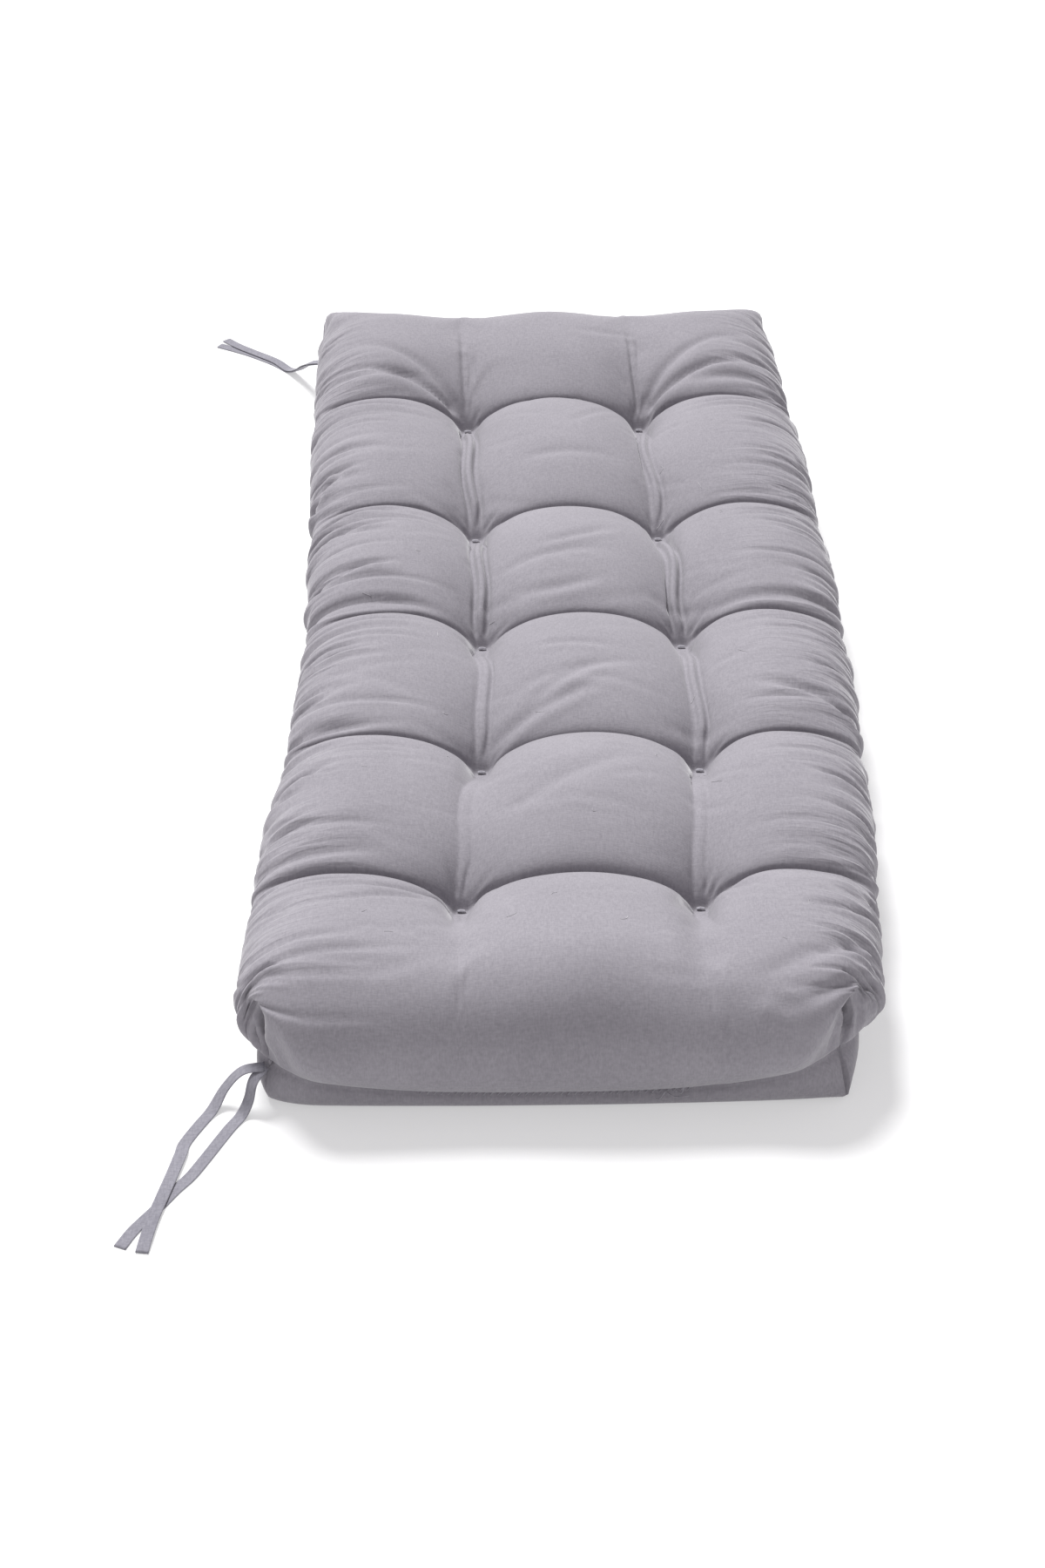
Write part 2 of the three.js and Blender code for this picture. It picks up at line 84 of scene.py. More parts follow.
# Where the camera stands, how many degrees it looks down and to the right, its lens and its sensor.
CAMERA = {"place": (-73.4, -2485.5, 1608.7), "down": 34.517, "right": 1.014, "lens": 72.27, "sensor": 36}


def add_object(name, data):
    made = bpy.data.objects.new(name, data)
    bpy.context.scene.collection.objects.link(made)
    return made


def make_camera():
    data = bpy.data.cameras.new("camera")
    data.lens = CAMERA["lens"]
    data.sensor_width = CAMERA["sensor"]
    made = add_object("camera", data)
    made.location = Vector(CAMERA["place"]) * MM
    made.rotation_euler = (math.radians(90 - CAMERA["down"]), 0, -math.radians(CAMERA["right"]))
    bpy.context.scene.camera = made
    return made


camera = make_camera()
print("camera at", [round(v, 3) for v in camera.location])

# %% [markdown]
# ## The sizes of the filled body
#
# The tables say where the tufts are, how far the sides bulge beside each row of them, and how high the cloth
# puffs up between the rows. A reader can change one number and see one place change.

# %% Tables of sizes
HALF_LENGTH = 619
TUFT_HEIGHT = 55
EQUATOR_HEIGHT = 62

ROWS = {
    "y": (-619, -412, -210, -6, 193, 419, 619),
    "leftSide": (-272, -263, -244, -233, -236, -242, -243),
    "leftTuft": (-90, -87, -69, -67, -72, -79, -82),
    "rightTuft": (112, 110, 122, 118, 107, 99, 96),
    "rightSide": (242, 259, 268, 271, 269, 261, 250),
}
CELLS = {
    "left": (60, 61, 58, 57, 58, 60),
    "middle": (68, 71, 63, 60, 62, 62),
    "right": (61, 62, 60, 59, 60, 61),
    "valley": (56, 42, 36, 34, 37, 53),
}
CREASE_RISE = {"side": 38, "middle": 34}
SIDE_ROLL = 76
END_ROLL = 72
ROLL_ANGLE = math.radians(135)
CREASE_NOTCH = 5
CORNERS = {
    "near_left": {"draw_x": 25, "draw_y": 46, "squareness": 3.6, "seam": 43, "foot": 0.8, "lift": 20},
    "near_right": {"draw_x": 36, "draw_y": 48, "squareness": 3.6, "seam": 55, "foot": 0, "lift": 28},
    "far_left": {"draw_x": 8, "draw_y": 9, "squareness": 7, "seam": 52, "foot": 0.5, "lift": 0},
    "far_right": {"draw_x": 8, "draw_y": 9, "squareness": 7, "seam": 54, "foot": 0.5, "lift": 0},
}
CORNER_DRAW = 2.2
SEAM_DRAW = 2
SEAM = {"side": 30, "near": 17, "far": 26, "end_lateness": 3, "side_lateness": 9}
TUFT = {"half_width": 6, "half_length": 3}
ARCH = {"level": 2.3, "steep": 0.72}
print("rows of tufts:", len(ROWS["y"]) - 2)

# %% [markdown]
# ## Two curves
#
# Two small functions shape everything. The first reads a smooth curve through a row of the table. The second
# is the profile of a puffed cell: steep at its stitched edge and level on its crown.

# %% Curves
ROW_Y = np.array(ROWS["y"], float)


def smooth(x, start, end):
    t = np.clip((x - start) / (end - start), 0, 1)
    return t * t * (3 - 2 * t)


def arch(t):
    return (1 - (1 - t) ** ARCH["level"]) ** ARCH["steep"]


def column(name, y):
    """A smooth curve through one line of ROWS, read at any places along the cushion."""
    values = np.array(ROWS[name], float)
    slopes = np.empty_like(values)
    slopes[1:-1] = (values[2:] - values[:-2]) / (ROW_Y[2:] - ROW_Y[:-2])
    slopes[0] = (values[1] - values[0]) / (ROW_Y[1] - ROW_Y[0])
    slopes[-1] = (values[-1] - values[-2]) / (ROW_Y[-1] - ROW_Y[-2])
    i = np.clip(np.searchsorted(ROW_Y, y, side="right") - 1, 0, len(values) - 2)
    span = ROW_Y[i + 1] - ROW_Y[i]
    t = np.clip((y - ROW_Y[i]) / span, 0, 1)
    from_start = (2 * t**3 - 3 * t**2 + 1) * values[i] + (t**3 - 2 * t**2 + t) * span * slopes[i]
    from_end = (3 * t**2 - 2 * t**3) * values[i + 1] + (t**3 - t**2) * span * slopes[i + 1]
    return from_start + from_end


print("left tufts at x =", column("leftTuft", ROW_Y[1:-1]).round())

# %% [markdown]
# ## The lines of the grid
#
# The upper panel is a grid of cloth. Its lines run across and along the cushion, close together at the tufts,
# where the cloth bends sharply. Elsewhere they are closer along the cushion, because the folds run across it.
# A line on a rounded side has an angle that says how far it has rolled over.

# %% Grid lines
SPACING = {"across": 11.0, "along": 6.4}
TIGHT = {"across": 3, "along": 2.5}
USUAL = {"tuft_to_side": 88, "tuft_to_tuft": 178}
ROLL_STEPS = {"side": 13, "end": 20}
PLEAT_OFFSETS = (6, 4, 2, 0, -2, -4, -6)


def stops(length, tight, widest, growth=1.35):
    """Shares of a length, from tight steps at its start to even ones."""
    places = [0.0]
    step = tight
    while places[-1] < length:
        places.append(places[-1] + step)
        step = min(step * growth, widest)
    return [p / places[-1] for p in places[1:]]


def mirrored_stops(length, tight, widest):
    half = [s / 2 for s in stops(length / 2, tight, widest)]
    return half[:-1] + [0.5] + [1 - s for s in reversed(half[:-1])]


def rolls(name):
    return [ROLL_ANGLE * (k + 1) / ROLL_STEPS[name] for k in range(ROLL_STEPS[name])]


def named(names, lines):
    return {name: np.array(values, float) for name, values in zip(names, zip(*lines))}


def across_lines():
    outwards = stops(USUAL["tuft_to_side"], TIGHT["across"], SPACING["across"])
    between = mirrored_stops(USUAL["tuft_to_tuft"], TIGHT["across"], SPACING["across"])
    edge = PLEAT_OFFSETS[0]
    halves = []
    for sign in (-1, 1):
        half = [(sign, 0, 0, sign * edge, 0)]
        half += [(sign, s, 0, sign * edge, 0) for s in outwards]
        half += [(sign, 1, a, sign * edge, 0) for a in rolls("side")]
        halves.append((half, [(sign, 0, 0, sign * off, 0) for off in PLEAT_OFFSETS[1:]]))
    middle = [(0, 1 - abs(2 * p - 1), 0, 0, p) for p in between]
    (left, left_pleat), (right, right_pleat) = halves
    order = left[::-1] + left_pleat + middle + right_pleat[::-1] + right
    return named(("sign", "share", "angle", "offset", "place"), order)


def along_lines():
    last = len(ROW_Y) - 1
    lines = []

    def end(cell, row, sign):
        start = ROW_Y[row] + sign * TUFT["half_length"]
        shoulder = sign * (HALF_LENGTH - END_ROLL)
        shares = stops(abs(shoulder - start), TIGHT["along"], SPACING["along"])
        made = [(cell, sign, s, start + (shoulder - start) * s, 0) for s in shares]
        return made + [(cell, sign, 1, shoulder, a) for a in rolls("end")]

    lines += end(0, 1, -1)[::-1]
    for row in range(1, last):
        for off in (-TUFT["half_length"], 0, TUFT["half_length"]):
            lines.append((row if off > 0 else row - 1, 0, 0, ROW_Y[row] + off, 0))
        if row == last - 1:
            break
        start = ROW_Y[row] + TUFT["half_length"]
        stop = ROW_Y[row + 1] - TUFT["half_length"]
        for p in mirrored_stops(stop - start, TIGHT["along"], SPACING["along"]):
            lines.append((row, 0, 1 - abs(2 * p - 1), start + (stop - start) * p, 0))
    lines += end(last - 1, last - 1, 1)
    return named(("cell", "sign", "share", "y", "angle"), lines)


ACROSS = across_lines()
ALONG = along_lines()
print("grid:", len(ACROSS["sign"]), "lines across by", len(ALONG["y"]), "along")

# %% [markdown]
# ## The surface of the upper panel
#
# Each crossing of two lines becomes a point of cloth. Its height comes from the cells, and where the cloth
# rolls over a side or an end, an angle carries it out to the bulge and back under to the waist seam. At the
# four corners the rolls meet in a sewn dart, which draws the corner in.

# %% Surface functions
U = {name: line[None, :] for name, line in ACROSS.items()}
V = {name: line[:, None] for name, line in ALONG.items()}
CELL = ALONG["cell"].astype(int)
CELL_MIDDLE = ((ROW_Y[CELL] + ROW_Y[CELL + 1]) / 2)[:, None]
TURN = 1 - math.sin(ROLL_ANGLE)
STEADY_FROM = math.radians(50)
DRAW_FROM = {"near": math.radians(58), "far": math.pi / 2}
LIFTED_AT = {"side": math.radians(70), "end": math.radians(60)}
LEAN = {"most": 7, "at": 0.12, "starts": 2.5}
NOTCH = {"width": 0.075, "gentle": 1.25}
HAMMOCK = {"crease": 0.5, "crown": 0.9}
WANDER = {"by": 4.5, "short": 31, "long": 83, "full_at": 0.4, "fade": 8}
# Pinches where the rolls meet, negative where the corner stands out: how deep, from which degree of the roll
# to which, and how wide in radians.
DARTS = {
    "near_left": ((17, 62, 138, 0.12),),
    "near_right": ((15, 66, 138, 0.11),),
    "far_left": ((-13, 10, 88, 0.3), (9, 84, 138, 0.12)),
    "far_right": ((-13, 10, 88, 0.3), (12, 70, 138, 0.12)),
}


def lerp(a, b, t):
    return a + (b - a) * t


def by_cell(values):
    """One value for each line along the cushion, from one for each cell."""
    return np.array(values, float)[CELL][:, None]


def at_corners(name):
    near = np.where(U["sign"] < 0, CORNERS["near_left"][name], CORNERS["near_right"][name])
    far = np.where(U["sign"] < 0, CORNERS["far_left"][name], CORNERS["far_right"][name])
    return np.where(V["sign"] < 0, near, far).astype(float)


def reach(own, other):
    """Plan reach of a rolled edge, as a share of its roll. Beside a corner it never turns back."""
    steady = math.sin(ROLL_ANGLE) * np.sin(math.pi / 2 * own / ROLL_ANGLE)
    return lerp(np.sin(own), steady, smooth(other, STEADY_FROM, ROLL_ANGLE))


def plan(draw, inset):
    side_reach = reach(U["angle"], V["angle"])
    end_reach = reach(V["angle"], U["angle"])
    corner = draw * (side_reach * end_reach) ** CORNER_DRAW
    out = END_ROLL * end_reach - at_corners("draw_y") * corner - inset * V["angle"] / ROLL_ANGLE
    y = V["y"] + V["sign"] * np.where(V["angle"] > 0, out, 0)
    y = y + lean() * (draw > 0)

    left_tuft, right_tuft = column("leftTuft", y), column("rightTuft", y)
    middle = lerp(left_tuft + TUFT["half_width"], right_tuft - TUFT["half_width"], U["place"])
    left = U["sign"] < 0
    tuft = np.where(left, left_tuft, right_tuft) + U["offset"]
    wander = WANDER["by"] * np.sin(y / WANDER["short"] + U["sign"])
    wander = wander * np.sin(y / WANDER["long"] - 2 * U["sign"])
    fading = np.exp(-U["share"] * WANDER["fade"])
    tuft = tuft + wander * smooth(V["share"], 0, WANDER["full_at"]) * (V["sign"] >= 0) * fading
    side = np.where(left, column("leftSide", y), column("rightSide", y))
    bulge = side - U["sign"] * CREASE_NOTCH * (1 - arch(V["share"]))
    rolled = SIDE_ROLL * side_reach - at_corners("draw_x") * corner - inset * U["angle"] / ROLL_ANGLE
    outer = lerp(tuft, bulge - U["sign"] * SIDE_ROLL, U["share"]) + U["sign"] * rolled
    return np.where(U["sign"] == 0, middle, outer), y


def lean():
    """How far the crowns lean over the crease between them, along the cushion."""
    nearest = np.where(V["y"] < CELL_MIDDLE, -1, 1)
    nearest = np.where(V["sign"] != 0, -V["sign"], nearest)
    share = V["share"] / LEAN["at"]
    over = np.clip(U["share"] * LEAN["starts"], 0, 1) * np.cos(np.clip(U["angle"], 0, math.pi / 2))
    return LEAN["most"] * share * np.exp(1 - share) * nearest * over * (V["angle"] == 0)


def seam_height(x, y):
    left = column("leftSide", y) + SIDE_ROLL * TURN
    right = column("rightSide", y) - SIDE_ROLL * TURN
    across = np.clip(2 * (x - left) / (right - left) - 1, -1, 1)
    along = np.clip(y / (HALF_LENGTH - END_ROLL * TURN), -1, 1)
    middle = np.where(along < 0, SEAM["near"], SEAM["far"])
    corner_near = np.where(across < 0, CORNERS["near_left"]["seam"], CORNERS["near_right"]["seam"])
    corner_far = np.where(across < 0, CORNERS["far_left"]["seam"], CORNERS["far_right"]["seam"])
    corner = np.where(along < 0, corner_near, corner_far)
    end = lerp(middle, corner, np.abs(across) ** SEAM["end_lateness"])
    return lerp(SEAM["side"], end, np.abs(along) ** SEAM["side_lateness"])


def top_rise():
    crowns = {name: by_cell(values) for name, values in CELLS.items()}
    crown = np.where(U["sign"] > 0, crowns["right"], crowns["middle"])
    crown = np.where(U["sign"] < 0, crowns["left"], crown)
    crease = np.where(U["sign"] == 0, CREASE_RISE["middle"], CREASE_RISE["side"])
    softened = np.where(V["sign"] != 0, smooth(V["share"], 0, 1), 0)
    beside_tuft = before_tuft() * np.exp(-((U["share"] / NOTCH["width"]) ** 2))
    hammock = 1 - (1 - U["share"]) ** 2
    slack = lerp(HAMMOCK["crease"], HAMMOCK["crown"], smooth(V["share"], 0.05, 0.5))
    puffed = lerp(arch(U["share"]), hammock, slack)
    across = lerp(puffed, smooth(U["share"], 0, 1), softened)
    along = lerp(arch(V["share"]), np.sin(math.pi / 2 * V["share"]) ** NOTCH["gentle"], beside_tuft)
    return along * lerp(crowns["valley"], crown, across) + (1 - along) * crease * across


def before_tuft():
    """1 on the side of a tuft that faces the near end, where its tack shows, and 0 on the other side."""
    return np.where(V["sign"] != 0, V["sign"] < 0, V["y"] > CELL_MIDDLE).astype(float)


def top_surface():
    squareness = at_corners("squareness")
    s = (U["angle"] / ROLL_ANGLE) ** squareness
    e = (V["angle"] / ROLL_ANGLE) ** squareness
    roll = ROLL_ANGLE * (s + e - s * e) ** (1 / squareness)
    draw_from = np.where(V["sign"] < 0, DRAW_FROM["near"], DRAW_FROM["far"])
    x, y = plan(lerp(1, SEAM_DRAW, smooth(roll, draw_from, ROLL_ANGLE)), 0)
    top = TUFT_HEIGHT + top_rise()
    at_corner = smooth(U["angle"], 0, LIFTED_AT["side"]) * smooth(V["angle"], 0, LIFTED_AT["end"])
    equator = EQUATOR_HEIGHT + at_corners("lift") * at_corner
    over = equator + (top - equator) * np.cos(roll)
    under = lerp(equator, seam_height(x, y), np.cos(roll) / math.cos(ROLL_ANGLE))
    z = np.where(roll > math.pi / 2, under, over)

    pinch = np.zeros_like(x)
    for corner, darts in DARTS.items():
        here = (U["angle"] > 0) & (V["angle"] > 0) & (V["sign"] == (-1 if "near" in corner else 1))
        here = here & (U["sign"] == (-1 if "left" in corner else 1))
        for depth, *degrees, width in darts:
            first, last = (math.radians(turn) for turn in degrees)
            half = (last - first) / 2
            beside = np.exp(-(((U["angle"] - V["angle"]) / width) ** 2))
            pinch += depth * smooth(1 - np.abs(roll - first - half) / half, 0, 1) * beside * here
    return np.stack([x - U["sign"] * pinch, y - V["sign"] * pinch, z], axis=2)


top = top_surface()
print("upper panel spans", np.ptp(top, axis=(0, 1)).round(), "mm")

# %% [markdown]
# ## Folds
#
# Loose cloth that is pulled in at a tuft has spare length, which stands up in folds. They cross the long
# sides from the seam, bow away from the creases and fade on the crowns. They could be painted as bump, but
# real folds cast shadows and break the outline, so they are moulded into the mesh before the cloth is
# simulated. A fold is a curved line on the cloth with a depth and a width. A valley with a low ridge on both
# sides looks like cloth, and a plain groove doesn't.

# %% Folds on the upper panel
ROLL_RADIUS = 60
SEAM_ARC = ROLL_RADIUS * ROLL_ANGLE
# A fold's cross-section in shares of its depth and width: the steepness of its valley, the height, place and
# steepness of its ridges, and how high the one towards the near end is beside the other.
FOLD = {"valley": 1.3, "ridge": 0.55, "at": 1.5, "steep": 1.6, "lower": 0.35}
random = np.random.default_rng(11)


def cloth_places():
    """Each point's place on the flat cloth: across, along."""
    x = plan(0, 0)[0]
    across = x - U["sign"] * SIDE_ROLL * reach(U["angle"], V["angle"]) + U["sign"] * ROLL_RADIUS * U["angle"]
    along = V["y"] + V["sign"] * ROLL_RADIUS * V["angle"]
    return across, np.broadcast_to(along, across.shape)


def fold_depth(places, start, bend, end, width, depth, fade):
    """Depth of one fold at places on the flat cloth or in space. Its line bends from start to end."""
    t = np.linspace(0, 1, 11)[:, None]
    line = (1 - t) ** 2 * np.array(start) + 2 * t * (1 - t) * np.array(bend) + t**2 * np.array(end)
    low, high = line.min(axis=0) - 3 * width, line.max(axis=0) + 3 * width
    near = np.all((places > low) & (places < high), axis=-1)
    close = places[near]
    nearest = np.full(len(close), 1e9)
    side = np.zeros(len(close))
    run = np.zeros(len(close))
    for i, (a, b) in enumerate(zip(line[:-1], line[1:])):
        step = b - a
        t = np.clip((close - a) @ step / (step @ step), 0, 1)
        offset = a + t[:, None] * step - close
        away = np.linalg.norm(offset, axis=1)
        closer = away < nearest
        run = np.where(closer, (i + t) / (len(line) - 1), run)
        side = np.where(closer, offset[:, 1], side)
        nearest = np.minimum(nearest, away)
    shape = nearest / width
    valley = np.exp(-(shape**1.5) * FOLD["valley"])
    ridge = FOLD["ridge"] * np.exp(-((shape - FOLD["at"]) ** 2) * FOLD["steep"])
    ridge = ridge * np.where(side > 0, 1, FOLD["lower"])
    ends = smooth(run, 0, fade[0]) * (1 - smooth(run, 1 - fade[1], 1))
    made = np.zeros(near.shape)
    made[near] = depth * (ridge - valley) * ends
    return made


# How many folds the cloth of a long side makes in each cell, how deep and wide they are, and how far in from
# the seam they reach, as a share of the way to the tufts.
SIDE_FOLDS = {
    "left": {
        "count": (7, 8, 9, 9, 9, 7),
        "depth": (2.0, 2.6, 3.4, 3.8, 3.4, 2.6),
        "width": 5.5,
        "reach": 0.9,
    },
    "right": {
        "count": (8, 9, 10, 11, 11, 8),
        "depth": (2.2, 2.4, 2.8, 2.8, 3.0, 2.6),
        "width": 4.5,
        "reach": 0.85,
    },
}
# How far chance shifts a fold, in shares of its own spacing, way, depth and width, or in millimetres.
SIDE_CHANCE = {"place": 0.3, "length": 0.2, "bend": 4, "end": 8, "depth": 0.6, "width": 0.25}
# How the folds of a cell bunch at one and three quarters of it, and how they bow away from the creases.
BUNCHED = {"inner": 0.09, "share": 1.6, "outer": 0.05}
BOW = {"most": 9, "bend": 0.4, "bend_at": 0.55}
SIDE_FADE = (0.05, 0.42)


def side_folds():
    """Folds that cross the long sides from the seam. The deepest lie beside the creases."""
    made = []
    for name, sign in (("left", -1), ("right", 1)):
        facts = SIDE_FOLDS[name]
        for cell in range(6):
            first, last = ROW_Y[cell], ROW_Y[cell + 1]
            count = facts["count"][cell]
            for k in range(count):
                jitter = random.uniform(-1, 1, 7)
                even = (k + 0.5 + SIDE_CHANCE["place"] * jitter[0]) / count
                bunched = even + BUNCHED["inner"] * math.sin(4 * math.pi * even) / BUNCHED["share"]
                y = lerp(first, last, bunched)
                from_crease = min(bunched, 1 - bunched) * 2
                outer = lerp(first, last, bunched + BUNCHED["outer"] * math.sin(2 * math.pi * bunched))
                seam = column(name + "Side", y) - sign * SIDE_ROLL + sign * SEAM_ARC
                way = abs(seam - column(name + "Tuft", y))
                length = way * (facts["reach"] - 0.3 * from_crease + SIDE_CHANCE["length"] * jitter[1])
                bow = BOW["most"] * (1 - from_crease) * (1 if bunched < 0.5 else -1)
                start = (seam, outer)
                bend_y = y + bow * BOW["bend"] + SIDE_CHANCE["bend"] * jitter[2]
                bend = (seam - sign * BOW["bend_at"] * length, bend_y)
                end = (seam - sign * length, y + bow + SIDE_CHANCE["end"] * jitter[3])
                depth = facts["depth"][cell] * (1.1 - 0.45 * from_crease)
                depth = depth * (1 + SIDE_CHANCE["depth"] * jitter[4])
                width = facts["width"] * (1 + SIDE_CHANCE["width"] * jitter[5])
                made.append((start, bend, end, width, depth, SIDE_FADE))
    return made


# Single folds: where each starts, bends and ends on the cloth, how wide and deep it is, and how much of it
# fades at its start and its end.
SINGLE_FOLDS = [
    ((-92, -430), (-135, -458), (-215, -452), 7, 3.6, (0.15, 0.5)),
    ((-100, -446), (-150, -478), (-240, -482), 8, 3.0, (0.2, 0.5)),
    ((118, -420), (150, -440), (190, -486), 13, 2.4, (0.2, 0.5)),
    ((106, -424), (92, -452), (84, -500), 15, 2.2, (0.2, 0.5)),
    ((232, -520), (190, -560), (120, -580), 14, 2.6, (0.2, 0.5)),
    ((258, -560), (200, -588), (150, -600), 13, 2.4, (0.2, 0.5)),
    ((-88, 426), (-130, 462), (-235, 478), 8, 4.0, (0.1, 0.4)),
    ((-86, 428), (-118, 486), (-215, 520), 9, 3.0, (0.1, 0.5)),
    ((104, 427), (140, 470), (250, 482), 8, 4.4, (0.1, 0.4)),
    ((102, 428), (126, 498), (230, 530), 10, 3.2, (0.1, 0.5)),
    ((98, 430), (94, 490), (90, 545), 5, 3.0, (0.05, 0.4)),
    ((-80, 432), (-84, 490), (-86, 560), 6, 1.8, (0.05, 0.5)),
    ((-60, 60), (0, 82), (70, 78), 12, 1.5, (0.2, 0.5)),
    ((-30, 262), (30, 275), (80, 268), 13, 1.3, (0.2, 0.5)),
    ((-45, -150), (10, -128), (80, -120), 14, 1.3, (0.2, 0.5)),
    ((-55, -352), (20, -300), (80, -262), 17, 1.5, (0.2, 0.5)),
]
CLOTH_FOLDS = side_folds() + SINGLE_FOLDS


def folds_at(places, narrow=1.0):
    """All the folds together, each at a share of its own width."""
    total = 0
    for *line, width, depth, fade in CLOTH_FOLDS:
        total = total + fold_depth(places, *line, width * narrow, depth, fade)
    return total


def free_cloth():
    """Cloth on the lines from tuft to tuft has no room to fold: 0 there, 1 or more elsewhere."""
    return smooth(U["share"], 0, 0.12) + (U["sign"] == 0) * smooth(U["share"], 0, 0.1)


# How proud the ridge and how deep the two grooves are, where the grooves lie and how wide they are in shares of
# the tuft's half width, how much is moulded again once the cloth is settled, and the strength in each cell.
PLEAT = {
    "ridge": 3.2,
    "groove": 4.4,
    "groove_at": 0.85,
    "groove_width": 0.25,
    "single_width": 0.35,
    "sharpen": 0.4,
    "left": (0.12, 0.08, 0.4, 1.0, 1.0, 0.3),
    "right": (0.0, 0.12, 0.55, 1.0, 0.6, 0.5),
}


def pleats():
    """Two narrow pleats from tuft to tuft with a soft ridge between them, and one pleat at each end."""
    line = (U["share"] == 0) & (U["sign"] != 0)
    off = np.abs(U["offset"]) / TUFT["half_width"]
    ridge = PLEAT["ridge"] * np.clip(1 - off**2, 0, 1)
    shape = ridge - PLEAT["groove"] * np.exp(-(((off - PLEAT["groove_at"]) / PLEAT["groove_width"]) ** 2))
    single = -PLEAT["groove"] * np.exp(-((off / PLEAT["single_width"]) ** 2))
    shape = np.where(V["sign"] == 0, shape, single)
    along = smooth(V["share"], 0, 0.3) * (1 - smooth(V["angle"], 0, math.radians(60)))
    along = along * np.where(V["sign"] > 0, 1 - smooth(V["share"], 0.6, 1), 1)
    strength = np.where(U["sign"] < 0, by_cell(PLEAT["left"]), by_cell(PLEAT["right"]))
    return np.where(line, shape, 0) * along * strength


def normals(grid):
    along = np.gradient(grid, axis=0)
    across = np.gradient(grid, axis=1)
    normal = np.cross(across, along)
    return normal / np.maximum(np.linalg.norm(normal, axis=2, keepdims=True), 1e-9)


CLOTH_ACROSS, CLOTH_ALONG = cloth_places()
FOLDS = folds_at(np.stack([CLOTH_ACROSS, CLOTH_ALONG], axis=2)) * np.clip(free_cloth(), 0, 1)
PLEATS = pleats()
folded = top + normals(top) * (FOLDS + PLEATS)[:, :, None]
print(len(CLOTH_FOLDS), "folds, the deepest", round(float(-FOLDS.min()), 1), "mm")

# %% [markdown]
# ## The lower panel and the underside
#
# The lower panel runs from the waist seam down to the edge of the face that the cushion lies on. It is a
# ribbon lofted between two loops of points. The underside is flat, because it lies on the floor, but each
# tuft draws a dimple up into it. A plain grid with a hole-free band of triangles round it joins it to the
# ribbon.

# %% Mesh of the whole body
LOWER = {"rows": 4, "bulge": 5, "inset": 6}
SEAM_GROOVE = 2.6
NOT_ON_TOP = -9999.0
LOWEST_ON_TOP = -1000
UNDER = {"step": 24, "width": 460, "margin": 30, "height": 17, "radius": 50, "sharpness": 1.5}


def rim(grid):
    """The values round the edge of a grid, anticlockwise from above."""
    return np.concatenate([grid[0], grid[1:-1, -1], grid[-1, ::-1], grid[-2:0:-1, 0]])


def foot_loop():
    x, y = plan(at_corners("foot"), LOWER["inset"])
    return rim(np.stack([x, y, np.zeros_like(x)], axis=2))


def under_height(x, y):
    height = np.zeros_like(x)
    for row, row_y in enumerate(ROW_Y[1:-1], 1):
        for name in ("leftTuft", "rightTuft"):
            across = np.maximum(0, np.abs(x - ROWS[name][row]) - TUFT["half_width"])
            along = np.maximum(0, np.abs(y - row_y) - TUFT["half_length"])
            near = np.clip(1 - np.hypot(across, along) / UNDER["radius"], 0, 1)
            height = np.maximum(height, UNDER["height"] * near ** UNDER["sharpness"])
    return height


def under_grid():
    end = HALF_LENGTH - END_ROLL * TURN - LOWER["inset"] - UNDER["margin"]
    side = SIDE_ROLL * TURN + LOWER["inset"] + UNDER["margin"]
    ys = np.linspace(-end, end, int(2 * end / UNDER["step"]))[:, None]
    share = np.linspace(0, 1, int(UNDER["width"] / UNDER["step"]))[None, :]
    x = lerp(column("leftSide", ys) + side, column("rightSide", ys) - side, share)
    y = np.broadcast_to(ys, x.shape)
    return np.stack([x, y, under_height(x, y)], axis=2)


def body_mesh(grid, name):
    """One closed mesh of the upper panel, the lower panel and the underside, with its points' indices."""
    points = [grid.reshape(-1, 3)]
    count = grid.shape[0] * grid.shape[1]
    faces = []
    index = np.arange(count).reshape(grid.shape[:2])
    quads = np.stack([index[:-1, :-1], index[:-1, 1:], index[1:, 1:], index[1:, :-1]], axis=2)
    faces += quads.reshape(-1, 4).tolist()

    seam = rim(index)
    seam_points = rim(grid)
    foot = foot_loop()
    out = np.roll(foot, -1, axis=0) - np.roll(foot, 1, axis=0)
    out = np.stack([out[:, 1], -out[:, 0], np.zeros(len(out))], axis=1)
    out /= np.linalg.norm(out, axis=1, keepdims=True)
    upper = seam
    loops = [seam]
    for k in range(1, LOWER["rows"] + 1):
        share = k / LOWER["rows"]
        bulge = LOWER["bulge"] * math.sin(math.pi * share)
        points.append(lerp(seam_points, foot, share) + out * bulge)
        lower = np.arange(count, count + len(seam))
        count += len(seam)
        faces += np.stack([upper, lower, np.roll(lower, -1), np.roll(upper, -1)], axis=1).tolist()
        upper = lower
        loops.append(lower)

    under = under_grid()
    points.append(under.reshape(-1, 3))
    inner = np.arange(count, count + under.shape[0] * under.shape[1]).reshape(under.shape[:2])
    quads = np.stack([inner[:-1, :-1], inner[1:, :-1], inner[1:, 1:], inner[:-1, 1:]], axis=2)
    faces += quads.reshape(-1, 4).tolist()
    points = np.concatenate(points)
    faces += zip_loops(points, upper.tolist(), rim(inner).tolist())

    mesh = bpy.data.meshes.new(name)
    mesh.from_pydata((points * MM).tolist(), [], faces)
    mesh.validate()
    return mesh, index, loops, inner


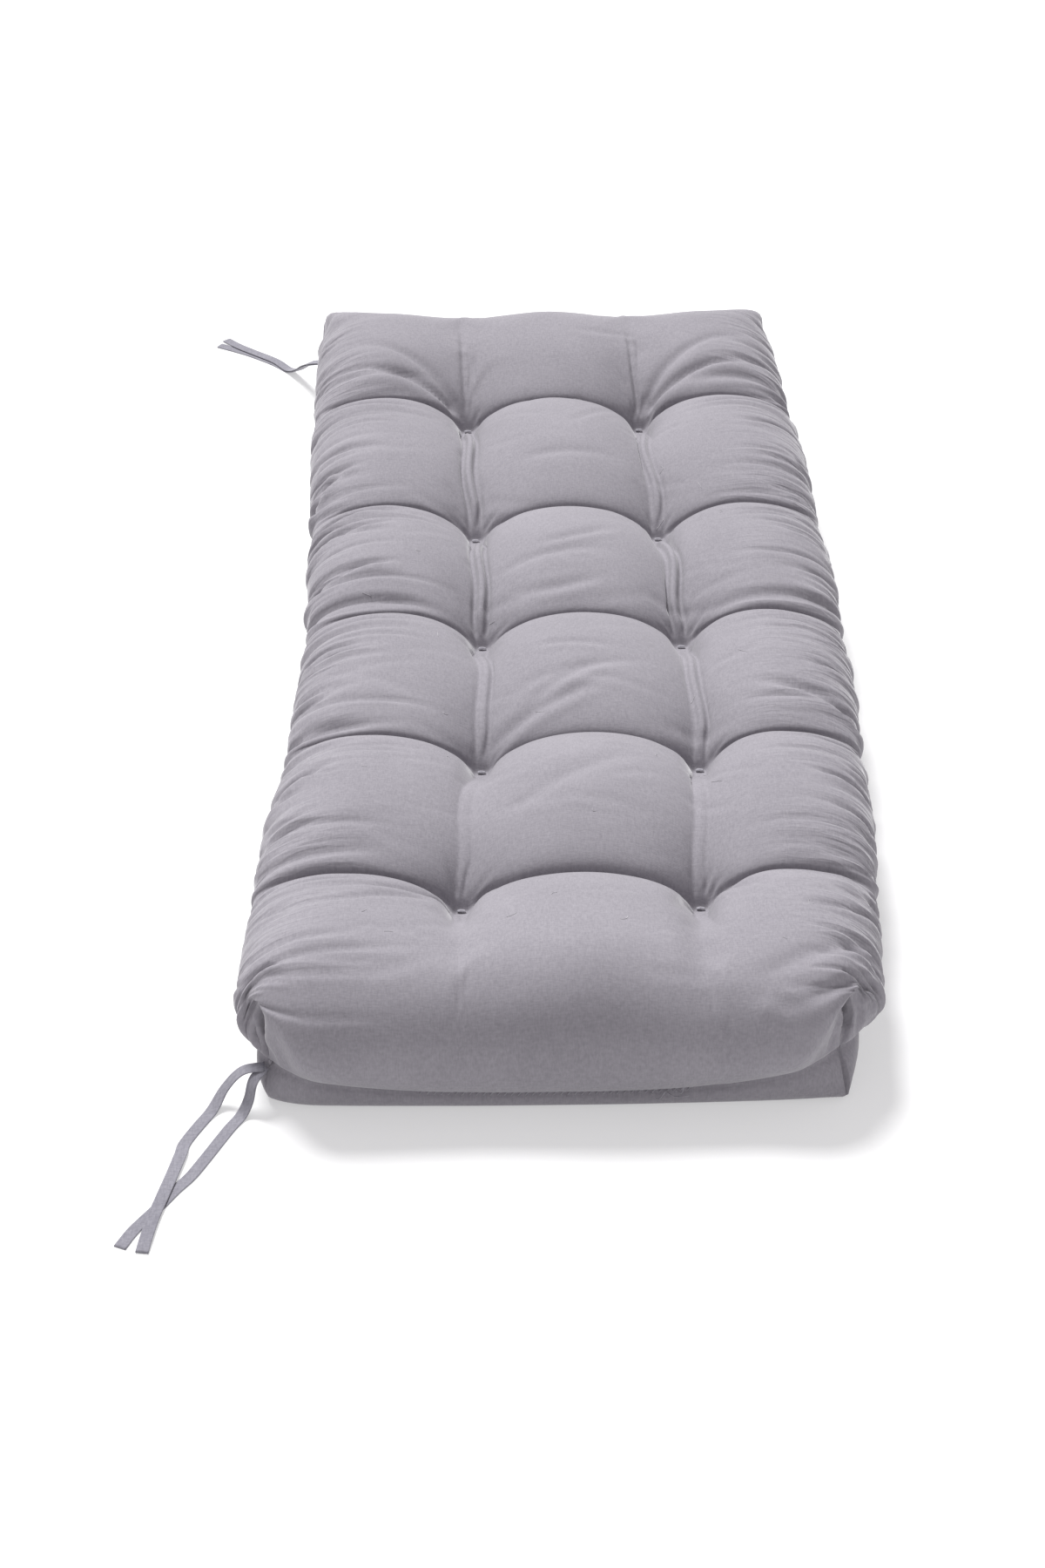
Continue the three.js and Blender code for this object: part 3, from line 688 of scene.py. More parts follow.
def zip_loops(points, outer, inner):
    """Triangles that join two loops, whatever their counts. The outer one starts beside the inner one."""
    start = min(range(len(inner)), key=lambda j: np.linalg.norm(points[inner[j]] - points[outer[0]]))
    inner = inner[start:] + inner[:start]
    faces = []
    i = j = 0
    while i < len(outer) or j < len(inner):
        here, opposite = outer[i % len(outer)], inner[j % len(inner)]
        next_outer, next_inner = outer[(i + 1) % len(outer)], inner[(j + 1) % len(inner)]
        step_outer = np.linalg.norm(points[next_outer] - points[opposite])
        step_inner = np.linalg.norm(points[next_inner] - points[here])
        if j >= len(inner) or (i < len(outer) and step_outer <= step_inner):
            faces.append((opposite, next_outer, here))
            i += 1
        else:
            faces.append((here, opposite, next_inner))
            j += 1
    return faces


def add_place(mesh, name, grid):
    """Writes one value to each point of the upper panel, and a mark to all the others."""
    values = np.full(len(mesh.vertices), NOT_ON_TOP)
    values[GRID.reshape(-1)] = grid.reshape(-1)
    mesh.attributes.new(name, "FLOAT", "POINT").data.foreach_set("value", values)


mesh, GRID, LOOPS, UNDER_INDEX = body_mesh(folded, "cushion_body")
add_place(mesh, "cloth_across", CLOTH_ACROSS)
add_place(mesh, "cloth_along", CLOTH_ALONG)
add_place(mesh, "pleat_height", PLEATS)
on_seam = np.zeros(len(mesh.vertices))
on_seam[LOOPS[0]] = 1
mesh.attributes.new("on_seam", "FLOAT", "POINT").data.foreach_set("value", on_seam)
body = add_object("cushion_body", mesh)
print("body:", len(mesh.vertices), "vertices,", len(mesh.polygons), "faces")

# %% [markdown]
# ## Cloth simulation
#
# The folds and cells so far are only a formula. Blender's Cloth modifier makes them behave: pressure from
# inside stands for the filling, the tufts, creases and underside are pinned, and the rest of the cloth finds
# its own shape between them. It runs for a few frames without gravity. How far a point may move is capped, so
# that the cushion keeps its size, and the modifier's result is kept as the mesh.

# %% Settle the cloth
PINS = {"crease": 0.9, "pleat": 0.55, "end_pleat": 0.4, "side_crease": 0.5, "seam": 0.6}
CLOTH = {
    "frames": 20,
    "quality": 6,
    "pressure": 14.0,
    "tension": 15,
    "shear": 5,
    "bending": 0.02,
    "mass": 0.3,
}
MOVE_CAP = 14 * MM
SPARE = {"folds": 2.0, "ripple": 0.5}


def pin_weights():
    """How firmly each point of the upper panel is held: 1 is sewn down, 0 is free."""
    on_line = (U["share"] == 0) & (np.abs(U["offset"]) <= TUFT["half_width"]) & (U["sign"] != 0)
    on_row = V["share"] == 0
    over = 1 - smooth(U["angle"], 0, math.radians(100))
    crease = on_row * lerp(PINS["side_crease"], PINS["crease"], over)
    pleat = on_line * PINS["pleat"] * (1 - smooth(V["angle"], 0, math.radians(40)))
    pleat = pleat * np.where(V["sign"] != 0, PINS["end_pleat"], 1)
    return np.maximum.reduce([crease, pleat, (on_line & on_row) * 1.0])


def read_points(points):
    """The places of a mesh's vertices, or of a shape key's points, one to a row."""
    places = np.empty(3 * len(points))
    points.foreach_get("co", places)
    return places.reshape(-1, 3)


def settle(obj):
    """Runs the cloth for its frames and keeps the result, with each point's move capped."""
    weights = np.zeros(len(obj.data.vertices))
    weights[GRID.reshape(-1)] = pin_weights().reshape(-1)
    weights[LOOPS[0]] = PINS["seam"]
    weights[LOOPS[-1]] = 1
    weights[UNDER_INDEX.reshape(-1)] = 1
    group = obj.vertex_groups.new(name="held")
    for weight in np.unique(weights[weights > 0]):
        group.add(np.flatnonzero(weights == weight).tolist(), float(weight), "REPLACE")

    obj.shape_key_add(name="sewn")
    loose = obj.shape_key_add(name="loose")
    ripple = random.normal(0, SPARE["ripple"], FOLDS.shape)
    rest = top + normals(top) * (FOLDS * SPARE["folds"] + PLEATS + ripple)[:, :, None]
    points = read_points(loose.data)
    points[GRID.reshape(-1)] = rest.reshape(-1, 3) * MM
    loose.data.foreach_set("co", points.reshape(-1))

    cloth = obj.modifiers.new("filling", "CLOTH")
    settings = cloth.settings
    settings.rest_shape_key = loose
    settings.quality = CLOTH["quality"]
    settings.mass = CLOTH["mass"]
    settings.tension_stiffness = settings.compression_stiffness = CLOTH["tension"]
    settings.shear_stiffness = CLOTH["shear"]
    settings.bending_stiffness = CLOTH["bending"]
    settings.use_pressure = True
    settings.uniform_pressure_force = CLOTH["pressure"]
    settings.vertex_group_mass = "held"
    settings.pin_stiffness = 1
    settings.effector_weights.gravity = 0
    cloth.collision_settings.use_collision = False
    cloth.collision_settings.use_self_collision = False
    scene = bpy.context.scene
    cloth.point_cache.frame_start = 1
    cloth.point_cache.frame_end = CLOTH["frames"]
    for number in range(1, CLOTH["frames"] + 1):
        scene.frame_set(number)

    settled = obj.evaluated_get(bpy.context.evaluated_depsgraph_get()).to_mesh()
    before = read_points(obj.data.vertices)
    moved = read_points(settled.vertices) - before
    obj.evaluated_get(bpy.context.evaluated_depsgraph_get()).to_mesh_clear()
    obj.modifiers.remove(cloth)
    obj.shape_key_clear()
    scene.frame_set(1)

    length = np.linalg.norm(moved, axis=1, keepdims=True)
    moved *= np.minimum(1, MOVE_CAP / np.maximum(length, 1e-9))
    points = before + moved
    points[:, 2] = np.maximum(points[:, 2], 0)
    obj.data.vertices.foreach_set("co", points.reshape(-1))
    obj.data.update()
    return length


moved = settle(body) / MM
average, most = (round(float(value), 1) for value in (moved.mean(), moved.max()))
print("cloth moved by", average, "mm on average before the cap,", most, "at most")

# %% [markdown]
# ## The body as a piece
#
# One subdivision rounds the simulated cloth. It is applied, so that the last fine shapes can be moulded at
# the finer size. The seam's edges are creased first, so that the waist seam stays a crisp line between the
# two panels. Round the two near darts, where the folds are finest, the faces are halved once more.

# %% Refine the body
def replaces(piece, nodes):
    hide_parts(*nodes)
    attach(piece, "root")


def shade_smooth(mesh):
    mesh.polygons.foreach_set("use_smooth", [True] * len(mesh.polygons))
    mesh.update()


def refined(obj, name):
    seam = set(LOOPS[0].tolist())
    crease = obj.data.attributes.new("crease_edge", "FLOAT", "EDGE")
    sharp = [1.0 if e.vertices[0] in seam and e.vertices[1] in seam else 0.0 for e in obj.data.edges]
    crease.data.foreach_set("value", sharp)
    modifier = obj.modifiers.new("round", "SUBSURF")
    modifier.levels = modifier.render_levels = 1
    depsgraph = bpy.context.evaluated_depsgraph_get()
    mesh = bpy.data.meshes.new_from_object(obj.evaluated_get(depsgraph))
    mesh.name = name
    bpy.data.objects.remove(obj)
    return mesh


def read_attribute(mesh, name):
    values = np.empty(len(mesh.vertices))
    mesh.attributes[name].data.foreach_get("value", values)
    return values


# Small wrinkles: how many, how long, wide and deep they are, and whether they lie beside a side seam. They
# are laid at random but the same way each time.
WRINKLES = {
    "puckers": (440, (25, 95), 3.0, 2.2, True),
    "crown_wrinkles": (110, (50, 130), 6.0, 1.0, False),
}


WRINKLES_WITHIN = {"along": 600, "crown": 230, "from_seam": (20, 50)}


def wrinkle_lines():
    made = []
    for count, (shortest, longest), width, depth, beside_seam in WRINKLES.values():
        for _ in range(count):
            jitter = random.uniform(-1, 1, 6)
            y = WRINKLES_WITHIN["along"] * jitter[0]
            length = lerp(shortest, longest, 0.5 + 0.5 * jitter[1])
            if beside_seam:
                sign = 1 if jitter[2] > 0 else -1
                side = "leftSide" if sign < 0 else "rightSide"
                seam = float(column(side, y)) - sign * SIDE_ROLL + sign * SEAM_ARC
                least, more = WRINKLES_WITHIN["from_seam"]
                start = (seam - sign * (least + more * abs(jitter[5])), y)
                end = (start[0] - sign * length, y + 6 * jitter[3])
            else:
                start = (WRINKLES_WITHIN["crown"] * jitter[2], y)
                heading = 0.5 * jitter[3]
                end = (start[0] + length * math.cos(heading), y + length * math.sin(heading))
            bend = ((start[0] + end[0]) / 2, (start[1] + end[1]) / 2 + 0.12 * length * jitter[4])
            made.append((start, bend, end, width, depth * (0.6 + 0.4 * jitter[5]), (0.3, 0.5)))
    return made


# The short folds that spread from each tuft: how many, how far from it they start, their length, width, depth
# and the shares that fade at their start and end.
TUFT_FOLDS = {"count": 9, "from": 9, "length": (14, 40), "width": 2.4, "depth": 1.5, "fade": (0.1, 0.7)}


def tuft_folds():
    made = []
    for row in range(1, 6):
        for side in ("left", "right"):
            tuft = np.array((ROWS[side + "Tuft"][row], ROWS["y"][row]))
            for k in range(TUFT_FOLDS["count"]):
                jitter = random.uniform(-1, 1, 4)
                heading = 2 * math.pi * (k + 0.35 * jitter[0]) / TUFT_FOLDS["count"]
                way = np.array((math.cos(heading), math.sin(heading)))
                beside = np.array((-way[1], way[0]))
                length = lerp(*TUFT_FOLDS["length"], 0.5 + 0.5 * jitter[1])
                start = tuft + TUFT_FOLDS["from"] * way
                end = start + length * way
                bend = start + 0.5 * length * way + 0.15 * length * jitter[2] * beside
                depth = TUFT_FOLDS["depth"] * (0.7 + 0.3 * jitter[3])
                made.append((start, bend, end, TUFT_FOLDS["width"], depth, TUFT_FOLDS["fade"]))
    return made


# The large folds over the long sides, for each cell from the near end. Each has its start at the side's edge
# and its inner end as shares of the cell's length, the share of the way to the tufts that it crosses, and its
# width and depth.
LEFT_FOLDS = (
    (
        (0.3, 0.38, 0.9, 5, 2.5), (0.42, 0.45, 0.6, 5, 3.5),
        (0.72, 0.72, 0.35, 4, 4), (0.9, 0.92, 0.75, 6, 4.5),
    ),
    ((0.08, 0.1, 0.7, 6, 4.5), (0.3, 0.35, 0.35, 4, 3), (0.5, 0.7, 0.4, 5, 5.5), (0.85, 0.9, 0.55, 4, 3)),
    ((0.08, 0.05, 0.5, 7, 5), (0.25, 0.3, 0.4, 4, 3), (0.55, 0.6, 0.5, 5, 4), (0.85, 0.9, 0.8, 6, 4.5)),
    ((0.1, 0.05, 0.9, 6, 6), (0.25, 0.35, 0.55, 4.5, 4.5), (0.6, 0.75, 0.6, 5, 5), (0.8, 0.95, 0.75, 6, 5.5)),
    ((0.05, 0.3, 0.3, 4, 6), (0.45, 0.4, 0.6, 6, 3.5), (0.75, 0.7, 0.6, 4, 3), (0.9, 0.85, 0.85, 7, 5)),
    (),
)
RIGHT_FOLDS = (
    ((0.35, 0.42, 0.4, 4, 3.5), (0.45, 0.5, 0.55, 4, 4), (0.7, 0.65, 0.6, 5, 4), (0.85, 0.82, 0.4, 7, 4.5)),
    ((0.1, 0.08, 0.45, 4, 4), (0.35, 0.38, 0.35, 4, 3), (0.55, 0.6, 0.45, 6, 6.5), (0.88, 0.9, 0.4, 3.5, 3)),
    ((0.15, 0.3, 0.75, 6, 5.5), (0.45, 0.45, 0.4, 4, 4.5), (0.7, 0.7, 0.35, 4, 3.5), (0.9, 0.95, 0.8, 6, 4)),
    ((0.12, 0.08, 0.85, 6, 5), (0.4, 0.42, 0.4, 4, 3), (0.8, 0.85, 0.7, 5, 4)),
    ((0.12, 0.1, 0.4, 4, 4), (0.35, 0.3, 0.45, 4, 3.5), (0.65, 0.6, 0.55, 4, 3), (0.9, 0.85, 0.85, 6, 5.5)),
    ((0.15, 0.1, 0.85, 7, 3.5),),
)
# The soft folds on the middle crowns: the cell, then start, middle and end as millimetres across and a share
# of the cell's length, then width and depth.
CROWN_FOLDS = (
    (2, (-75, 0.05), (-20, 0.15), (45, 0.3), 8, 3.2),
    (2, (-40, 0.1), (0, 0.3), (50, 0.45), 8, 2.6),
    (2, (-30, 0.6), (15, 0.58), (60, 0.52), 6, 2.0),
    (3, (-45, 0.2), (5, 0.15), (55, 0.25), 7, 2.4),
    (3, (-20, 0.5), (25, 0.55), (65, 0.7), 7, 2.2),
    (4, (20, 0.55), (50, 0.75), (80, 0.95), 5, 1.8),
)
# The folds round the near darts, as steps in millimetres from the point of each dart: inward, along, up. The
# last two are broad hollows on the near end that lead to the right dart.
DART_FOLDS = {
    "left": (
        ((-17, -13, 18), (-16, -12, -2), (-8, -12, -24), 4, 7),
        ((-28, 15, 8), (-25, 35, 22), (-5, 30, 42), 4, 2),
    ),
    "right": (
        ((-13, -15, 16), (-11, -13, 4), (-6, -12, -10), 4, 5),
        ((-26, -5, 0), (-28, 10, 20), (-5, 28, 38), 4, 2),
        ((55, -15, 30), (35, -25, 20), (12, -15, 0), 9, 5),
        ((105, 145, -10), (105, 35, 40), (90, -5, 30), 15, 3.5),
    ),
}
PLACED_FADE = {"side": (0.04, 0.4), "crown": (0.35, 0.35), "dart": (0.2, 0.35)}
# Where the middle of a large fold lies: its share of the way in, and its share of the way along.
LARGE_MIDDLE = (0.42, 0.55)
# How far outside the side's line a large fold starts, and how far round a dart the faces are halved.
EDGE_BULGE = 6
DART_REACH = 52
# Each fold is moulded again over the settled cloth, at two shares of its width with two strengths.
SHARPENED = ((0.5, 0.7), (0.9, 0.3))


def fold_through(points, line, width, depth, kind):
    """Depth of a fold whose curve passes through the three places of its line."""
    start, middle, end = line
    bend = 2 * np.array(middle, float) - (np.array(start, float) + np.array(end)) / 2
    return fold_depth(points, start, bend, end, width, depth, PLACED_FADE[kind])


def in_cell(cell, share):
    return lerp(ROW_Y[cell], ROW_Y[cell + 1], share)


def dart_point(side):
    """The point of a near dart: the corner of the upper panel where both rolls are upright."""
    across = np.abs(U["angle"][0] * U["sign"][0] - (-1 if side == "left" else 1) * math.pi / 2).argmin()
    along = np.abs(V["angle"][:, 0] * V["sign"][:, 0] + math.pi / 2).argmin()
    return top[along, across]


def placed_folds(points):
    """Every placed fold at the points of a mesh. Only the darts' folds mind how high a point is."""
    from_above = points[:, :2]
    made = np.zeros(len(points))
    for side, sign, cells in (("left", -1, LEFT_FOLDS), ("right", 1, RIGHT_FOLDS)):
        for cell, folds in enumerate(cells):
            for at_edge, inner, crossed, width, depth in folds:
                first, last = in_cell(cell, at_edge), in_cell(cell, inner)
                edge = column(side + "Side", first) + sign * EDGE_BULGE
                inward = -sign * crossed * abs(edge - column(side + "Tuft", first))
                middle = (edge + inward * LARGE_MIDDLE[0], lerp(first, last, LARGE_MIDDLE[1]))
                line = ((edge, first), middle, (edge + inward, last))
                made += fold_through(from_above, line, width, depth, "side")
        inward = np.array((-sign, 1, 1))
        for *steps, width, depth in DART_FOLDS[side]:
            line = [dart_point(side) + inward * step for step in steps]
            made += fold_through(points, line, width, depth, "dart")
    for cell, *places, width, depth in CROWN_FOLDS:
        line = [(x, in_cell(cell, share)) for x, share in places]
        made += fold_through(from_above, line, width, depth, "crown")
    return made


def refine_darts(mesh):
    """Halves the faces round the two near darts, where the folds are finest."""
    edit = bmesh.new()
    edit.from_mesh(mesh)
    edges = []
    for side in ("left", "right"):
        place = Vector(dart_point(side)) * MM
        inside = {v for v in edit.verts if (v.co - place).length < DART_REACH * MM}
        edges += [e for e in edit.edges if e.verts[0] in inside and e.verts[1] in inside]
    bmesh.ops.subdivide_edges(edit, edges=edges, cuts=1, use_grid_fill=True)
    edit.to_mesh(mesh)
    edit.free()


def mould_fine_shapes(mesh):
    """Sharpens the folds, adds the small and the placed ones, and sinks the seam."""
    points = read_points(mesh.vertices)
    cloth = np.stack([read_attribute(mesh, "cloth_across"), read_attribute(mesh, "cloth_along")], axis=1)
    on_top = cloth[:, 0] > LOWEST_ON_TOP
    cloth = cloth[on_top]
    shape = np.zeros(len(points))
    fine = sum(folds_at(cloth, narrow) * strength for narrow, strength in SHARPENED)
    for facts in wrinkle_lines() + tuft_folds():
        fine += fold_depth(cloth, *facts)
    fine += placed_folds(points[on_top] / MM)
    shape[on_top] = fine + PLEAT["sharpen"] * read_attribute(mesh, "pleat_height")[on_top]
    shape -= SEAM_GROOVE * read_attribute(mesh, "on_seam") ** 2
    facing = np.empty(3 * len(points))
    mesh.vertex_normals.foreach_get("vector", facing)
    points += facing.reshape(-1, 3) * shape[:, None] * MM
    points[:, 2] = np.maximum(points[:, 2], 0)
    mesh.vertices.foreach_set("co", points.reshape(-1))
    mesh.update()


print("dart points:", [dart_point(side).round().tolist() for side in ("left", "right")])
fine_mesh = refined(body, "body_cloth")
refine_darts(fine_mesh)
mould_fine_shapes(fine_mesh)
body_cloth = add_object("body_cloth", fine_mesh)
shade_smooth(body_cloth.data)
replaces(body_cloth, ["cushion"])
print("body cloth:", sum(len(p.vertices) - 2 for p in body_cloth.data.polygons), "triangles")

# %% [markdown]
# ## Tacks
#
# A tack is thread passed several times through the whole cushion. On the cloth it shows as a short bar of
# thread, about 8 mm long, half sunk between the pleats. Each tack is one mesh of a few bowed strands.

# %% Make the tacks
TACK = {"half_length": 3.8, "strands": 4, "pitch": 0.7, "radius": 0.45, "rise": 0.8, "seat": 1.5}
# How much closer the strands lie at their ends, how far each sways, and how much lower the outer ones bow.
STRANDS = {"closer": 0.35, "sway": 0.12, "lower": 0.25}


def tube(points, radius, sides=8):
    """Vertices and faces of a closed round tube along points, in millimetres."""
    points = np.asarray(points, float)
    vertices, faces = [], []
    side = np.array([0.0, 0, 1])
    radii = np.broadcast_to(radius, (len(points),))
    tangents = np.gradient(points, axis=0)
    for i, (point, tangent) in enumerate(zip(points, tangents)):
        tangent = tangent / np.linalg.norm(tangent)
        side = side - tangent * (side @ tangent)
        if np.linalg.norm(side) < 1e-3:
            side = np.cross(tangent, (1.0, 0, 0))
        side = side / np.linalg.norm(side)
        other = np.cross(tangent, side)
        for k in range(sides):
            turn = 2 * math.pi * k / sides
            vertices.append(point + radii[i] * (side * math.cos(turn) + other * math.sin(turn)))
    for i in range(len(points) - 1):
        for k in range(sides):
            a, b = i * sides + k, i * sides + (k + 1) % sides
            faces.append((a, b, b + sides, a + sides))
    faces.append(tuple(range(sides))[::-1])
    faces.append(tuple(range((len(points) - 1) * sides, len(points) * sides)))
    return vertices, faces


def joined(parts):
    """One mesh's vertices and faces from several parts."""
    vertices, faces = [], []
    for part_vertices, part_faces in parts:
        base = len(vertices)
        vertices += list(part_vertices)
        faces += [tuple(base + i for i in face) for face in part_faces]
    return vertices, faces


def mesh_from(name, vertices, faces):
    mesh = bpy.data.meshes.new(name)
    mesh.from_pydata([tuple(float(c) * MM for c in v) for v in vertices], [], faces)
    mesh.validate()
    shade_smooth(mesh)
    return mesh


def tack(centre, up):
    """A bar of bowed strands that lie side by side. The outer ones lie lower."""
    strands = []
    middle = (TACK["strands"] - 1) / 2
    for k in range(TACK["strands"]):
        t = np.linspace(-1, 1, 9)
        x = centre[0] + t * (TACK["half_length"] - TACK["radius"])
        beside = (k - middle) * TACK["pitch"] * (1 - STRANDS["closer"] * t**2)
        y = centre[1] + beside + STRANDS["sway"] * np.sin(3 * t + k)
        z = centre[2] + up * TACK["rise"] * (1 - t**2) * (1 - STRANDS["lower"] * abs(k - middle))
        strands.append(tube(np.stack([x, y, z], axis=1), TACK["radius"], 6))
    return joined(strands)


LEVELS = {"upper": (TUFT_HEIGHT + TACK["seat"], 1), "lower": (UNDER["height"] - TACK["seat"], -1)}
tacks = []
for row in range(1, 6):
    for side in ("left", "right"):
        place = (ROWS[side + "Tuft"][row], ROWS["y"][row])
        for level, (height, up) in LEVELS.items():
            name = f"tack_{level}_{row}_{side}"
            piece = add_object(name + "_thread", mesh_from(name, *tack((*place, height), up)))
            replaces(piece, [name])
            tacks.append(piece)
print(len(tacks), "tacks")

# %% [markdown]
# ## The hand-closed opening
#
# The cushion is filled through an opening in the waist seam at its near end, which is then sewn shut by hand.
# The stitches are short slanted threads across the seam. Two thread ends stick out where the sewing stopped.
# Each thread is a thin tube that is laid on the cloth by asking the mesh for its nearest point.

# %% Sew up the opening
OPENING = {"from": -118, "to": 93, "pitch": 5.5, "slant": 2.2, "half_height": 2.6, "radius": 0.32}
# Each loose thread end as places across the cushion and up from the seam.
THREAD_ENDS = (((60, -2), (66, -8), (72, 3)), ((70, -1), (80, -6), (90, -3)), ((78, 0), (84, -3), (86, 6)))


def near_seam():
    """The waist seam across the near end, from left to right, in millimetres."""
    points = read_points(body_cloth.data.vertices) / MM
    return points[LOOPS[0][: GRID.shape[1]]]


def seam_at(seam, x):
    return (np.interp(x, seam[:, 0], seam[:, axis]) for axis in (1, 2))


def on_cloth(place, above):
    """The place on the cloth nearest to the given one, raised a little above it."""
    _, spot, normal, _ = body_cloth.closest_point_on_mesh(Vector(place) * MM)
    return np.array(spot + normal * above * MM) / MM


def sew_opening():
    seam = near_seam()
    threads = []
    for x in np.arange(OPENING["from"], OPENING["to"], OPENING["pitch"]):
        y, z = seam_at(seam, x)
        path = []
        for t in (-1, -0.5, 0, 0.5, 1):
            spot = (x + OPENING["slant"] * t, y - 2, z + OPENING["half_height"] * t)
            path.append(on_cloth(spot, 0.2 + 0.5 * (1 - t * t)))
        threads.append(tube(path, OPENING["radius"], 6))
    for line in THREAD_ENDS:
        y, z = seam_at(seam, line[0][0])
        places = [(x, y - 2.5 - 2 * k, z + up) for k, (x, up) in enumerate(line)]
        bent, _ = spline(places, 2)
        threads.append(tube(bent, 0.25, 6))
    piece = add_object("closing_stitches", mesh_from("closing_stitches", *joined(threads)))
    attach(piece, "root")
    return piece


# %% [markdown]
# ## Loose fibres
#
# Brushed cloth sheds a few pale fibres that cling to it. They are short curved threads, laid on the crowns
# from above at random places.

# %% Lay the fibres
FIBRES = {"count": 30, "length": (4, 12), "radius": 0.17, "half_area": (190, 540), "from_height": 140}


def lay_fibres():
    threads = []
    for _ in range(FIBRES["count"]):
        x, y, turn, curl, size = random.uniform(-1, 1, 5)
        length = lerp(*FIBRES["length"], abs(size))
        heading = math.pi * turn
        path = []
        for t in np.linspace(-1, 1, 7):
            bent = heading + 0.8 * curl * t
            spot_x = FIBRES["half_area"][0] * x + length / 2 * t * math.cos(bent)
            spot_y = FIBRES["half_area"][1] * y + length / 2 * t * math.sin(bent)
            spot = (spot_x, spot_y, FIBRES["from_height"])
            _, place, normal, _ = body_cloth.ray_cast(Vector(spot) * MM, Vector((0, 0, -1)))
            path.append(np.array(place + normal * 0.25 * MM) / MM)
        threads.append(tube(path, FIBRES["radius"], 5))
    piece = add_object("loose_fibres", mesh_from("loose_fibres", *joined(threads)))
    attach(piece, "root")
    return piece


# %% [markdown]
# ## Tape ties
#
# Each tie is one strip of cloth, folded lengthwise and stitched flat, caught in the seam at its middle, so it
# has two free tails. A tape bends easily one way and hardly the other, so each tail is a thin strip along a
# smooth curve, with a stitched hollow along both edges and a hemmed end.

# %% Make the ties
TAPE = {"width": 10, "thickness": 1.2, "hem": 7, "hem_rise": 0.35, "step": 2.5}
# Across half of the tape, as shares: where its edge starts to thin, how wide that is, and where the stitched
# hollow lies, how wide and how deep it is.
EDGE = {"from": 0.86, "width": 0.14}
STITCHED = {"at": 0.72, "width": 0.1, "depth": 0.22}
STATIONS = np.array([-1, -0.86, -0.7, -0.3, 0, 0.3, 0.7, 0.86, 1])
# Heights of the middle of a tape that lies on the floor, and of one that lies on the other tail.
LYING = 0.6
STACKED = 2.1
# For each tail, places from the seam outwards: x, y, z, and the direction of the tape's width in degrees
# where it doesn't lie flat.
TIES = {
    "tie_near": {
        "end": -1,
        "root": {"out": 6, "below": 2.8},
        "tails": (
            (
                (-259, -582, 30, 110), (-273, -583, 14, 120), (-283, -596, STACKED), (-293, -614, LYING),
                (-302, -634, LYING), (-304, -648, STACKED), (-309, -672, STACKED), (-319, -717, STACKED),
                (-323, -742, STACKED), (-325, -756, LYING + 0.3),
            ),
            (
                (-250, -591, 27, 135), (-254, -596, 12, 140), (-260, -603, 2), (-269, -618, LYING),
                (-285, -652, LYING), (-295, -672, LYING), (-306, -688, LYING), (-318, -708, LYING),
                (-333, -731, LYING), (-342, -750, LYING),
            ),
        ),
    },
    "tie_far": {
        "end": 1,
        "root": {"out": 1.1, "below": 0.9},
        "tails": (
            (
                (-247, 616, 38, 55), (-258, 637, 24), (-267, 653, 11), (-278, 670, STACKED),
                (-294, 691, STACKED), (-321, 714, STACKED), (-337, 728, STACKED), (-352, 746, LYING + 0.3),
            ),
            (
                (-247, 615.5, 36.6, 55), (-257.6, 636.3, 22.6), (-266.8, 652.4, 9.6), (-278, 669, LYING),
                (-295, 688, LYING), (-322, 710, LYING), (-339, 721, LYING), (-359, 733, LYING),
            ),
        ),
    },
}


def spline(points, step):
    """Points evenly along a smooth curve through the given ones."""
    points = np.asarray(points, float)
    padded = np.concatenate([[2 * points[0] - points[1]], points, [2 * points[-1] - points[-2]]])
    fine = []
    for a, b, c, d in zip(padded[:-3], padded[1:-2], padded[2:-1], padded[3:]):
        for t in np.linspace(0, 1, 12, endpoint=False):
            square, cube = 2 * a - 5 * b + 4 * c - d, 3 * b - a - 3 * c + d
            fine.append(0.5 * (2 * b + (c - a) * t + square * t**2 + cube * t**3))
    fine.append(points[-1])
    fine = np.array(fine)
    run = np.concatenate([[0], np.cumsum(np.linalg.norm(np.diff(fine[:, :3], axis=0), axis=1))])
    at = np.linspace(0, run[-1], max(2, int(run[-1] / step)))
    return np.stack([np.interp(at, run, fine[:, k]) for k in range(fine.shape[1])], axis=1), run[-1]


